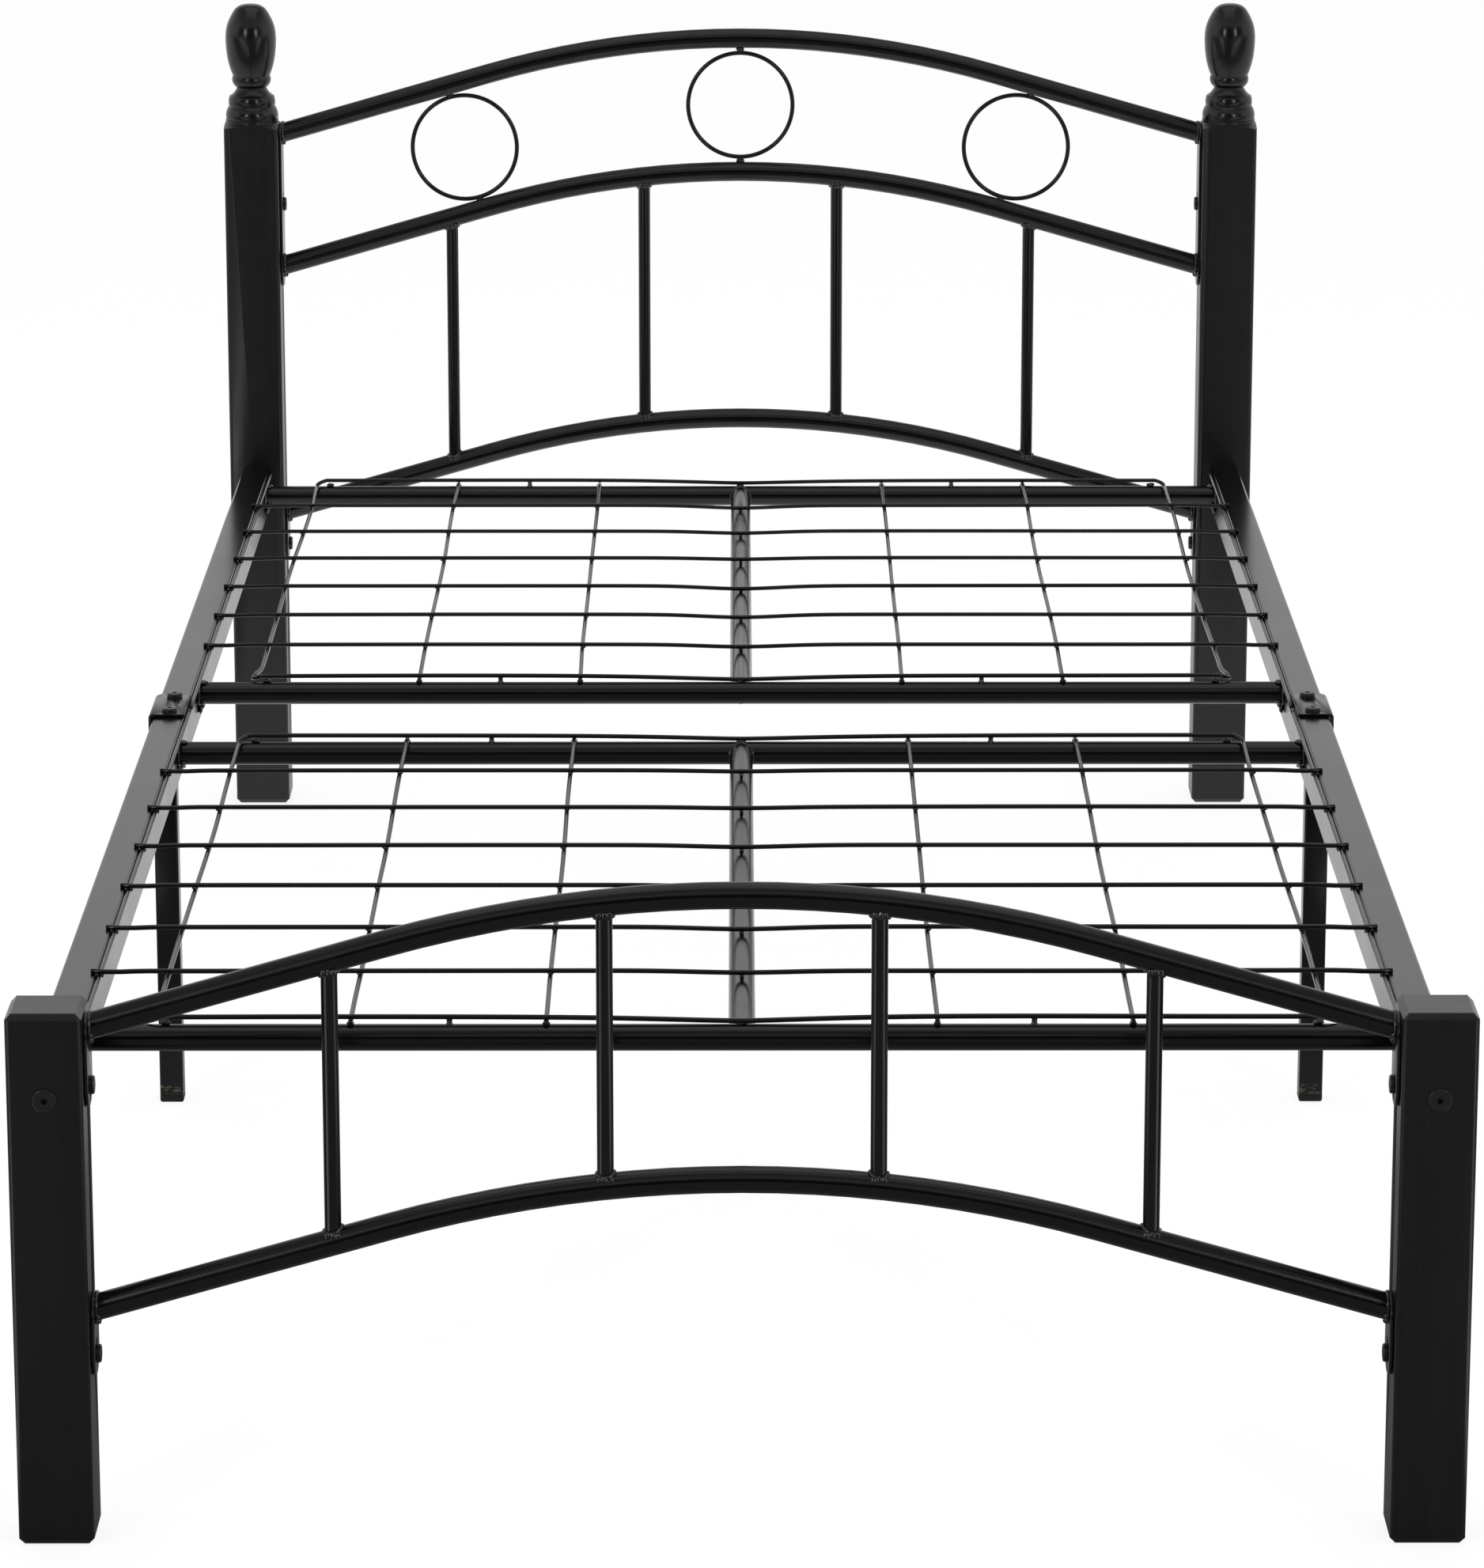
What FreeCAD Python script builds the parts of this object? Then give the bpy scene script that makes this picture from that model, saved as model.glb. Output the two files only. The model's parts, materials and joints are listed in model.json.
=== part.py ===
import FreeCAD, Part
import math
import os

# A single bed frame for a 900 x 1900 mattress. Four square timber posts carry arched steel tube
# panels at the head and the foot. Steel side rails in two halves join the posts and carry a welded
# wire mesh deck, and two short middle legs stand under the joints between the rail halves.
#
# Millimetres. X runs across the bed, with +X on the right seen from the foot. Y runs along it, with
# +Y towards the headboard. Z is up. The origin is on the floor, in the middle of the frame.

Vec = FreeCAD.Vector
ALONG_X = Vec(1, 0, 0)
ALONG_Y = Vec(0, 1, 0)
UP = Vec(0, 0, 1)
SIDES = {"left": -1, "right": 1}
ENDS = {"foot": -1, "head": 1}

# Overall sizes
frame_length = 2000.0
frame_width = 956.0
foot_post_height = 365.0
head_post_height = 650.0

# Clearances
weld_gap = 0.1
thread_clearance = 0.05
bolt_clearance = 0.4
insert_clearance = 0.2
cut_margin = 1.0

# Timber posts
post_side = 50.0
post_edge_radius = 3.5
post_end_chamfer = 4.0
shoulder_depth = 7.0
shoulder_neck_height = 2.6

# Turned finials. Each bead has the height of its top, its step in from the base at its bulge, and
# its step in at its top. The other points have a radius and a height above the post.
finial_height = 107.0
finial_base_step = 1.2
finial_beads = ((12.6, -0.2, 2.6), (21.8, 2.2, 3.2))
finial_cove = (16.3, 25.2)
finial_neck = (13.6, 29.8)
finial_collar = (17.9, 36.3)
finial_collar_top = (17.1, 40.8)
finial_egg = ((21.5, 54.7), (23.2, 68.6), (21.5, 88.3), (17.0, 98.0))
finial_egg_flare = 0.45
dowel_radius = 4.0
dowel_reach = 22.0

# Side rails
rail_width = 25.0
rail_height = 38.0
rail_wall = 1.5
rail_corner_radius = 2.0
rail_below_post_top = 58.0
rail_joint_gap = 1.0

# Post bolts and the threaded plugs in the rail ends
bolt_radius = 3.0
post_bolt_head_radius = 8.0
post_bolt_head_height = 1.6
post_bolt_socket = 4.0
post_bolt_socket_depth = 4.0
rail_plug_thickness = 4.0
nut_across_flats = 10.0
nut_height = 5.0

# Brackets over the rail joints, and the middle legs under them
bracket_length = 70.0
bracket_thickness = 2.5
bracket_side_gap = 1.0
bracket_corner_cut = 5.0
bracket_bolt_spacing = 50.0
bracket_bolt_head_radius = 6.0
bracket_bolt_head_height = 3.3
bracket_bolt_socket = 4.0
button_head_round = 0.4
button_head_socket_depth = 0.6
leg_side = 19.0
leg_wall = 1.5
leg_corner_radius = 2.0
leg_plate_thickness = 3.0
leg_cap_height = 5.0
leg_cap_plug_length = 14.0
leg_cap_edge_radius = 1.8

# Tubes of the panels and the deck
tube_radius = 9.0
tube_wall = 1.5
spindle_radius = 5.5
spindle_wall = 1.0
spindle_pitch = 179.0
spindles_per_panel = 4

# Arched tubes: a round crown that runs out into straight, sloping ends
arch_crown_radius = 845.0
arch_end_slope = math.radians(16.0)
footboard_arch_spacing = 193.0
headboard_upper_spacing = 124.3
headboard_lower_spacing = 233.3

# Wire rings between the upper two headboard arches
ring_wire_radius = 2.0
ring_clearance = 0.35
ring_stub_radius = 2.5
ring_pitch = 256.0

# End plates of the arches and their screws
plate_thickness = 2.5
plate_width = 34.0
plate_top_margin = {"foot": 4.5, "head": 3.0}
plate_end_flat = 1.0
plate_rim = 1.0
upper_plate_below_tube = 54.0
lower_plate_below_tube = 46.0
long_plate_below_tube = 19.0
plate_screw_margin = 14.0
plate_slot_radius = 3.3
plate_slot_travel = 8.0
screw_radius = 2.5
screw_to_bolt = 2.0
screw_head_radius = 6.2
screw_head_height = 3.0
screw_socket = 4.0

# Wire mesh deck
wire_radius = 1.75
cross_tube_to_post = 73.0
cross_tube_to_joint = 100.0
long_wires_each_side = 3
long_wire_edge_margin = 49.0
cross_wires_per_panel = 6
cross_wire_lap = 7.0
end_wire_overhang = 6.0
end_wire_bend_radius = 3.0
border_wire_to_post = 14.0
border_wire_to_joint = 3.0

# Positions that follow from the sizes
half_length = frame_length / 2
half_width = frame_width / 2
post_x = half_width - post_side / 2
post_y = half_length - post_side / 2
post_inner_x = half_width - post_side
post_inner_y = half_length - post_side
post_heights = {"foot": foot_post_height, "head": head_post_height}

rail_middle_height = foot_post_height - rail_below_post_top
rail_top = rail_middle_height + rail_height / 2
rail_bottom = rail_middle_height - rail_height / 2
rail_inner_x = post_x - rail_width / 2
rail_outer_x = post_x + rail_width / 2

border_wire_height = rail_top - wire_radius
cross_tube_height = rail_top - 2 * wire_radius - weld_gap - tube_radius
long_wire_height = cross_tube_height + tube_radius + weld_gap / 2 + wire_radius
cross_wire_height = long_wire_height + 2 * wire_radius + weld_gap
outer_cross_tube_y = post_inner_y - cross_tube_to_post
long_wire_pitch = (rail_inner_x - long_wire_edge_margin) / long_wires_each_side

arch_end_x = post_inner_x - plate_thickness
arch_tangent_x = arch_crown_radius * math.sin(arch_end_slope)
arch_gap = headboard_upper_spacing * math.cos(arch_end_slope) - 2 * tube_radius
ring_outer_radius = arch_gap / 2 - ring_clearance
plate_above_tube = tube_radius + plate_rim
screw_length = post_side / 2 - bolt_radius - screw_to_bolt

bracket_outer_x = rail_outer_x + bracket_side_gap + bracket_thickness
leg_x = bracket_outer_x - leg_side / 2


def box(x_span, y_span, z_span):
    """A block between two values on each axis, in either order."""
    low = Vec(min(x_span), min(y_span), min(z_span))
    high = Vec(max(x_span), max(y_span), max(z_span))
    size = high - low
    return Part.makeBox(size.x, size.y, size.z, low)


def cylinder(start, end, radius):
    """A round bar between two points."""
    axis = end - start
    return Part.makeCylinder(radius, axis.Length, start, axis)


def hexagon_bar(start, end, across_flats):
    """A six-sided bar between two points, with corners towards +Z or +Y."""
    axis = end - start
    side_way = UP if abs(axis.z) < axis.Length / 2 else ALONG_Y
    other_way = axis.cross(side_way).normalize()
    corner_radius = across_flats / math.sqrt(3)
    corners = []
    for k in range(7):
        angle = math.radians(60 * k)
        corners.append(start + side_way * (corner_radius * math.cos(angle))
                       + other_way * (corner_radius * math.sin(angle)))
    return Part.Face(Part.makePolygon(corners)).extrude(axis)


def edges_along(shape, direction):
    """The straight edges of a shape that run in one direction."""
    found = []
    for edge in shape.Edges:
        if isinstance(edge.Curve, Part.Line):
            way = edge.tangentAt(edge.FirstParameter)
            if abs(abs(way.dot(direction)) - 1) < 1e-6:
                found.append(edge)
    return found


def rounded_bar(x_span, y_span, z_span, direction, radius):
    """A block whose edges along one direction are rounded."""
    block = box(x_span, y_span, z_span)
    return block.makeFillet(radius, edges_along(block, direction))


def square_tube(x_span, y_span, z_span, direction, wall, radius):
    """A rectangular tube, open at both ends, that runs in one direction."""
    outer = rounded_bar(x_span, y_span, z_span, direction, radius)
    spans = []
    for span, part in zip((x_span, y_span, z_span), direction):
        inset = 0 if abs(part) > 0.5 else wall
        spans.append((min(span) + inset, max(span) - inset))
    return outer.cut(box(*spans))


def sweep(edges, radius):
    """A round bar along a path whose edges meet smoothly."""
    path = Part.Wire(edges)
    start = edges[0].valueAt(edges[0].FirstParameter)
    way = edges[0].tangentAt(edges[0].FirstParameter)
    profile = Part.Wire(Part.makeCircle(radius, start, way))
    return path.makePipeShell([profile], True, False)


def rim_edges(shape, way, level):
    """The edges of a shape that lie in one plane, square to an axis at a distance from the origin."""
    found = []
    for edge in shape.Edges:
        ends = [edge.valueAt(edge.FirstParameter), edge.valueAt(edge.LastParameter)]
        if all(abs(point.dot(way) - level) < 1e-6 for point in ends + [edge.CenterOfMass]):
            found.append(edge)
    return found


def save(name, *solids):
    """Write one node from its solids."""
    shape = solids[0] if len(solids) == 1 else Part.makeCompound(list(solids))
    shape.exportStep("parts/" + name + ".step")


# Timber posts and finials

def post(side, end):
    """A square post with eased edges, bored for its rail bolt and its panel screws."""
    x = SIDES[side] * post_x
    y = ENDS[end] * post_y
    height = post_heights[end]
    half = post_side / 2
    bar = rounded_bar((x - half, x + half), (y - half, y + half), (0, height), UP, post_edge_radius)
    eased = bar.makeChamfer(post_end_chamfer, rim_edges(bar, UP, 0))
    if end == "foot":
        eased = eased.makeChamfer(post_end_chamfer, rim_edges(eased, UP, height))
    else:
        eased = eased.common(turned_shoulder(x, y, height))
        bore_foot = Vec(x, y, height - dowel_reach - thread_clearance)
        bore_mouth = Vec(x, y, height + cut_margin)
        eased = eased.cut(cylinder(bore_foot, bore_mouth, dowel_radius + thread_clearance))
    centre = Vec(x, y, rail_middle_height)
    reach = ALONG_Y * post_side
    eased = eased.cut(cylinder(centre - reach, centre + reach, bolt_radius + bolt_clearance))
    for screw_height in screw_heights[end]:
        mouth = Vec(SIDES[side] * (post_inner_x - cut_margin), y, screw_height)
        tip = Vec(SIDES[side] * (post_inner_x + screw_length + thread_clearance), y, screw_height)
        eased = eased.cut(cylinder(mouth, tip, screw_radius + thread_clearance))
    return eased


def turned_shoulder(x, y, height):
    """The lathe's envelope at the top of a head post: a short neck over a shallow cone."""
    corner = post_side
    neck = post_side / 2 - finial_base_step / 2
    cone_top = height - shoulder_neck_height
    slope = (shoulder_depth - shoulder_neck_height) / (post_side / 2 * (math.sqrt(2) - 1))
    points = [
        Vec(0, 0, -cut_margin),
        Vec(corner, 0, -cut_margin),
        Vec(corner, 0, cone_top - slope * (corner - neck)),
        Vec(neck, 0, cone_top),
        Vec(neck, 0, height),
        Vec(0, 0, height),
        Vec(0, 0, -cut_margin),
    ]
    envelope = Part.Face(Part.makePolygon(points)).revolve(Vec(0, 0, 0), UP, 360)
    envelope.translate(Vec(x, y, 0))
    return envelope


def finial(side):
    """A turned finial: two beads, a cove, a collar and an egg, bored for its dowel."""
    base_radius = post_side / 2 - finial_base_step
    edges = [Part.makeLine(Vec(0, 0, 0), Vec(base_radius, 0, 0))]
    at = Vec(base_radius, 0, 0)
    for top, bulge_step, top_step in finial_beads:
        bulge = Vec(base_radius - bulge_step, 0, (at.z + top) / 2)
        rim = Vec(base_radius - top_step, 0, top)
        edges.append(Part.Arc(at, bulge, rim).toShape())
        at = rim
    cove, neck, collar, collar_top = [Vec(radius, 0, height) for radius, height in (
        finial_cove, finial_neck, finial_collar, finial_collar_top)]
    edges.append(Part.Arc(at, cove, neck).toShape())
    edges.append(Part.Arc(neck, collar, collar_top).toShape())
    tip = Vec(0, 0, finial_height)
    flank = [Vec(radius, 0, height) for radius, height in finial_egg]
    egg = Part.BSplineCurve()
    egg.interpolate([collar_top] + flank + [tip], InitialTangent=Vec(finial_egg_flare, 0, 1),
                    FinalTangent=Vec(-1, 0, 0))
    edges.append(egg.toShape())
    edges.append(Part.makeLine(tip, Vec(0, 0, 0)))
    solid = Part.Face(Part.Wire(edges)).revolve(Vec(0, 0, 0), UP, 360)
    seat = Vec(SIDES[side] * post_x, post_y, head_post_height)
    solid.translate(seat)
    bore_top = seat + UP * (dowel_reach + thread_clearance)
    return solid.cut(cylinder(seat - UP * cut_margin, bore_top, dowel_radius + thread_clearance))


def finial_dowel(side):
    """The dowel between a head post and its finial."""
    seat = Vec(SIDES[side] * post_x, post_y, head_post_height)
    return cylinder(seat - UP * dowel_reach, seat + UP * dowel_reach, dowel_radius)


# Arched tubes, spindles and rings

def arch_drop(x):
    """How far an arch has fallen from its crown at a distance from the middle."""
    if abs(x) <= arch_tangent_x:
        return arch_crown_radius - math.sqrt(arch_crown_radius ** 2 - x ** 2)
    fall = arch_crown_radius * (1 - math.cos(arch_end_slope))
    return fall + (abs(x) - arch_tangent_x) * math.tan(arch_end_slope)


def arch_lean(x):
    """The slope of an arch at a distance from the middle, as an angle."""
    reach = max(-arch_tangent_x, min(arch_tangent_x, x))
    return math.asin(reach / arch_crown_radius)


def arch_bar(crown_height, y, radius):
    """A solid bar along an arch, cut square to X where it meets its end plates."""
    reach = arch_end_x + 2 * tube_radius
    points = []
    for x in (-reach, -arch_tangent_x, 0, arch_tangent_x, reach):
        points.append(Vec(x, y, crown_height - arch_drop(x)))
    edges = [
        Part.makeLine(points[0], points[1]),
        Part.Arc(points[1], points[2], points[3]).toShape(),
        Part.makeLine(points[3], points[4]),
    ]
    depth = 2 * radius
    keep = box((-arch_end_x, arch_end_x), (y - depth, y + depth), (0, crown_height + depth))
    return sweep(edges, radius).common(keep)


def arch_tube(crown_height, y):
    """An arched tube."""
    bore = arch_bar(crown_height, y, tube_radius - tube_wall)
    return arch_bar(crown_height, y, tube_radius).cut(bore)


def spindle(x, y, upper_crown, lower_crown):
    """An upright tube whose ends are shaped to the arches above and below it."""
    bottom = Vec(x, y, lower_crown - arch_drop(x))
    top = Vec(x, y, upper_crown - arch_drop(x))
    tube = cylinder(bottom, top, spindle_radius)
    tube = tube.cut(cylinder(bottom, top, spindle_radius - spindle_wall))
    for crown in (upper_crown, lower_crown):
        tube = tube.cut(arch_bar(crown, y, tube_radius + weld_gap))
    return tube


def ring(x, y, upper_crown, lower_crown):
    """A wire ring between two arches, with short stubs where it meets them."""
    middle = Vec(x, y, (upper_crown + lower_crown) / 2 - arch_drop(x))
    lean = arch_lean(x)
    to_arch = Vec(math.sin(lean), 0, math.cos(lean))
    hoop_radius = ring_outer_radius - ring_wire_radius
    hoop = Part.makeTorus(hoop_radius, ring_wire_radius, middle, ALONG_Y)
    half_gap = (upper_crown - lower_crown) / 2 * math.cos(lean)
    for way in (1, -1):
        foot = middle + to_arch * (way * hoop_radius)
        tip = middle + to_arch * (way * half_gap)
        hoop = hoop.fuse(cylinder(foot, tip, ring_stub_radius))
    for crown in (upper_crown, lower_crown):
        hoop = hoop.cut(arch_bar(crown, y, tube_radius + weld_gap))
    return hoop.removeSplitter()


# End plates and their screws

def end_plate(side, y, top, bottom, screw_height, slot_way):
    """A round-ended plate on the inner face of a post, with a slot that runs from its screw."""
    inner = SIDES[side] * (post_inner_x - plate_thickness)
    outer = SIDES[side] * post_inner_x
    radius = plate_width / 2
    plate = box((inner, outer), (y - radius, y + radius), (bottom, top))
    plate = plate.makeFillet((plate_width - plate_end_flat) / 2, edges_along(plate, ALONG_X))
    slot_end = screw_height + slot_way * plate_slot_travel
    slot_span = (y - plate_slot_radius, y + plate_slot_radius)
    slot = box((inner, outer), slot_span, (screw_height, slot_end))
    for height in (screw_height, slot_end):
        slot = slot.fuse(cylinder(Vec(inner, y, height), Vec(outer, y, height), plate_slot_radius))
    return plate.cut(slot)


def panel_screw(side, y, height):
    """A button-headed screw through an end plate into its post."""
    way = SIDES[side]
    seat = Vec(way * (post_inner_x - plate_thickness), y, height)
    face = seat - ALONG_X * (way * screw_head_height)
    tip = Vec(way * (post_inner_x + screw_length), y, height)
    head = cylinder(face, seat, screw_head_radius)
    head = head.makeFillet(screw_head_height * button_head_round, rim_edges(head, ALONG_X, face.x))
    screw = head.fuse(cylinder(seat, tip, screw_radius))
    socket_floor = face + ALONG_X * (way * screw_head_height * button_head_socket_depth)
    return screw.cut(hexagon_bar(face, socket_floor, screw_socket))


# Side rails, their plugs and bolts

def half_rail(side, end):
    """Half a side rail, from its post to the joint in the middle, bored for the bracket bolt."""
    way = ENDS[end]
    x_span = (SIDES[side] * rail_inner_x, SIDES[side] * rail_outer_x)
    y_span = (way * rail_joint_gap / 2, way * post_inner_y)
    tube = square_tube(x_span, y_span, (rail_bottom, rail_top), ALONG_Y, rail_wall, rail_corner_radius)
    at = Vec(SIDES[side] * post_x, way * bracket_bolt_spacing / 2, 0)
    return tube.cut(cylinder(at, at + UP * (2 * rail_top), bolt_radius + bolt_clearance))


def rail_plug(side, end):
    """A plate and nut inside the end of a rail, threaded for the post bolt."""
    way = ENDS[end]
    inset = rail_wall + insert_clearance
    face = way * post_inner_y
    back = face - way * rail_plug_thickness
    x_span = (SIDES[side] * (rail_inner_x + inset), SIDES[side] * (rail_outer_x - inset))
    plate = box(x_span, (face, back), (rail_bottom + inset, rail_top - inset))
    start = Vec(SIDES[side] * post_x, back, rail_middle_height)
    nut = hexagon_bar(start, start - ALONG_Y * (way * nut_height), nut_across_flats)
    reach = ALONG_Y * post_side
    bore = cylinder(start + reach, start - reach, bolt_radius + thread_clearance)
    return plate.fuse(nut).cut(bore)


def post_bolt(side, end):
    """A flat-headed bolt through a post into its rail plug."""
    way = ENDS[end]
    seat = Vec(SIDES[side] * post_x, way * half_length, rail_middle_height)
    face = seat + ALONG_Y * (way * post_bolt_head_height)
    tip_y = way * (post_inner_y - rail_plug_thickness - nut_height - bolt_radius)
    tip = Vec(seat.x, tip_y, rail_middle_height)
    head = cylinder(seat, face, post_bolt_head_radius)
    head = head.makeFillet(post_bolt_head_height / 2, rim_edges(head, ALONG_Y, face.y))
    bolt = head.fuse(cylinder(seat, tip, bolt_radius))
    socket_floor = face - ALONG_Y * (way * post_bolt_socket_depth)
    return bolt.cut(hexagon_bar(face, socket_floor, post_bolt_socket))


# Joints in the middle of the rails, and the middle legs

def joint_bracket(side):
    """A folded sheet over the top and the outer side of a rail joint."""
    way = SIDES[side]
    half = bracket_length / 2
    outer = box((way * rail_inner_x, way * bracket_outer_x), (-half, half),
                (rail_bottom, rail_top + bracket_thickness))
    fold = [edge for edge in edges_along(outer, ALONG_Y)
            if edge.CenterOfMass.z > rail_top and abs(edge.CenterOfMass.x) > post_x]
    outer = outer.makeFillet(bracket_thickness + bracket_side_gap / 2, fold)
    flange_x = bracket_outer_x - bracket_thickness
    inner = box((way * (rail_inner_x - cut_margin), way * flange_x),
                (-bracket_length, bracket_length), (0, rail_top))
    sheet = outer.cut(inner)
    corner = Vec(way * (bracket_outer_x + cut_margin), half + cut_margin, 0)
    cut = bracket_corner_cut + 2 * cut_margin
    triangle = Part.Face(Part.makePolygon([
        corner, corner - ALONG_X * (way * cut), corner - ALONG_Y * cut, corner,
    ]))
    sheet = sheet.cut(triangle.extrude(UP * (2 * rail_top)))
    for y in (-bracket_bolt_spacing / 2, bracket_bolt_spacing / 2):
        at = Vec(way * post_x, y, rail_middle_height)
        sheet = sheet.cut(cylinder(at, at + UP * rail_height, bolt_radius + bolt_clearance))
    return sheet


def bracket_bolt(side, end):
    """A button-headed bolt down through a bracket, a rail and the plate of a middle leg."""
    y = ENDS[end] * bracket_bolt_spacing / 2
    seat = Vec(SIDES[side] * post_x, y, rail_top + bracket_thickness)
    face = seat + UP * bracket_bolt_head_height
    nut_bottom = rail_bottom - leg_plate_thickness - nut_height
    tip = Vec(seat.x, y, nut_bottom - bolt_radius / 2)
    head = cylinder(seat, face, bracket_bolt_head_radius)
    head = head.makeFillet(bracket_bolt_head_height * button_head_round, rim_edges(head, UP, face.z))
    bolt = head.fuse(cylinder(seat, tip, bolt_radius))
    socket_floor = face - UP * (bracket_bolt_head_height * button_head_socket_depth)
    return bolt.cut(hexagon_bar(face, socket_floor, bracket_bolt_socket))


def bracket_nut(side, end):
    """A hexagon nut under the plate of a middle leg."""
    y = ENDS[end] * bracket_bolt_spacing / 2
    top = Vec(SIDES[side] * post_x, y, rail_bottom - leg_plate_thickness)
    nut = hexagon_bar(top, top - UP * nut_height, nut_across_flats)
    return nut.cut(cylinder(top + UP, top - UP * (2 * nut_height), bolt_radius + thread_clearance))


def leg_plate(side):
    """The plate on top of a middle leg, bolted under both halves of a rail."""
    half = bracket_length / 2
    x_span = (SIDES[side] * rail_inner_x, SIDES[side] * bracket_outer_x)
    plate = box(x_span, (-half, half), (rail_bottom - leg_plate_thickness, rail_bottom))
    for y in (-bracket_bolt_spacing / 2, bracket_bolt_spacing / 2):
        at = Vec(SIDES[side] * post_x, y, 0)
        plate = plate.cut(cylinder(at, at + UP * rail_top, bolt_radius + bolt_clearance))
    return plate


def middle_leg(side):
    """A square tube leg under a rail joint."""
    x = SIDES[side] * leg_x
    half = leg_side / 2
    z_span = (leg_cap_height, rail_bottom - leg_plate_thickness)
    return square_tube((x - half, x + half), (-half, half), z_span, UP, leg_wall, leg_corner_radius)


def leg_cap(side):
    """A plastic cap plugged into the foot of a middle leg."""
    x = SIDES[side] * leg_x
    half = leg_side / 2
    z_span = (0, leg_cap_height)
    foot = rounded_bar((x - half, x + half), (-half, half), z_span, UP, leg_corner_radius)
    foot = foot.makeFillet(leg_cap_edge_radius, rim_edges(foot, UP, 0))
    core = half - leg_wall - insert_clearance
    plug_top = leg_cap_height + leg_cap_plug_length
    plug = box((x - core, x + core), (-core, core), (leg_cap_height / 2, plug_top))
    return foot.fuse(plug)


# Deck

def cross_tube(y):
    """A tube across the bed, between the inner faces of the rails."""
    left = Vec(-rail_inner_x, y, cross_tube_height)
    right = Vec(rail_inner_x, y, cross_tube_height)
    return cylinder(left, right, tube_radius).cut(cylinder(left, right, tube_radius - tube_wall))


def centre_tube(end):
    """A tube along the middle of a deck panel, shaped at its ends to the cross tubes."""
    inner = Vec(0, ENDS[end] * cross_tube_to_joint, cross_tube_height)
    outer = Vec(0, ENDS[end] * outer_cross_tube_y, cross_tube_height)
    tube = cylinder(inner, outer, tube_radius).cut(cylinder(inner, outer, tube_radius - tube_wall))
    for at in (inner, outer):
        reach = ALONG_X * (3 * tube_radius)
        tube = tube.cut(cylinder(at - reach, at + reach, tube_radius + weld_gap))
    return tube


def long_wires(end):
    """The wires along a deck panel. Their ends lie on the cross tubes."""
    lap = tube_radius / 2
    start = ENDS[end] * (cross_tube_to_joint - lap)
    finish = ENDS[end] * (outer_cross_tube_y + lap)
    wires = []
    for side in SIDES.values():
        for k in range(1, long_wires_each_side + 1):
            x = side * k * long_wire_pitch
            near = Vec(x, start, long_wire_height)
            far = Vec(x, finish, long_wire_height)
            wires.append(cylinder(near, far, wire_radius))
    return wires


def cross_wires(end):
    """The wires across a deck panel. They lie on the long wires, and their ends on the rails."""
    reach = rail_inner_x + cross_wire_lap
    pitch = (outer_cross_tube_y - cross_tube_to_joint) / (cross_wires_per_panel + 1)
    wires = []
    for k in range(1, cross_wires_per_panel + 1):
        y = ENDS[end] * (cross_tube_to_joint + k * pitch)
        left = Vec(-reach, y, cross_wire_height)
        right = Vec(reach, y, cross_wire_height)
        wires.append(cylinder(left, right, wire_radius))
    return wires


def end_wire(y):
    """The last wire of a deck panel, over a cross tube, with both ends bent down onto it."""
    bend = end_wire_bend_radius
    reach = long_wires_each_side * long_wire_pitch + end_wire_overhang
    foot_height = cross_tube_height + tube_radius + weld_gap / 2
    diagonal = bend * (1 - math.sqrt(0.5))
    left = [
        Vec(-reach, y, foot_height),
        Vec(-reach, y, cross_wire_height - bend),
        Vec(-reach + diagonal, y, cross_wire_height - diagonal),
        Vec(-reach + bend, y, cross_wire_height),
    ]
    right = [Vec(-point.x, point.y, point.z) for point in reversed(left)]
    edges = [
        Part.makeLine(left[0], left[1]),
        Part.Arc(left[1], left[2], left[3]).toShape(),
        Part.makeLine(left[3], right[0]),
        Part.Arc(right[0], right[1], right[2]).toShape(),
        Part.makeLine(right[2], right[3]),
    ]
    return sweep(edges, wire_radius)


def border_wire(side, end):
    """A wire along the inner top edge of half a rail."""
    x = SIDES[side] * (rail_inner_x - wire_radius - weld_gap / 2)
    start = ENDS[end] * (rail_joint_gap / 2 + border_wire_to_joint)
    finish = ENDS[end] * (post_inner_y - border_wire_to_post)
    near = Vec(x, start, border_wire_height)
    far = Vec(x, finish, border_wire_height)
    return cylinder(near, far, wire_radius)


# Heights of the arches, their plates and their screws

arch_rise = arch_drop(arch_end_x)
crown = {}
crown["foot_upper"] = foot_post_height - plate_top_margin["foot"] - plate_above_tube + arch_rise
crown["foot_lower"] = crown["foot_upper"] - footboard_arch_spacing
crown["head_top"] = head_post_height - plate_top_margin["head"] - plate_above_tube + arch_rise
crown["head_middle"] = crown["head_top"] - headboard_upper_spacing
crown["head_lower"] = crown["head_middle"] - headboard_lower_spacing

# Each plate: its end of the bed, its top, its bottom, its screw, and which way its slot runs
plates = {}
for name, end, arch, below in (
    ("footboard_plate_upper", "foot", "foot_upper", upper_plate_below_tube),
    ("footboard_plate_lower", "foot", "foot_lower", lower_plate_below_tube),
    ("headboard_plate_lower", "head", "head_lower", lower_plate_below_tube),
):
    tube_height = crown[arch] - arch_rise
    bottom = tube_height - below
    slot_way = -1 if name == "footboard_plate_upper" else 1
    plates[name] = (end, tube_height + plate_above_tube, bottom, bottom + plate_screw_margin, slot_way)
long_top = crown["head_top"] - arch_rise + plate_above_tube
long_bottom = crown["head_middle"] - arch_rise - long_plate_below_tube
plates["headboard_plate_upper"] = ("head", long_top, long_bottom, (long_top + long_bottom) / 2, 1)
screw_heights = {end: [plate[3] for plate in plates.values() if plate[0] == end] for end in ENDS}

os.makedirs("parts", exist_ok=True)

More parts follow.
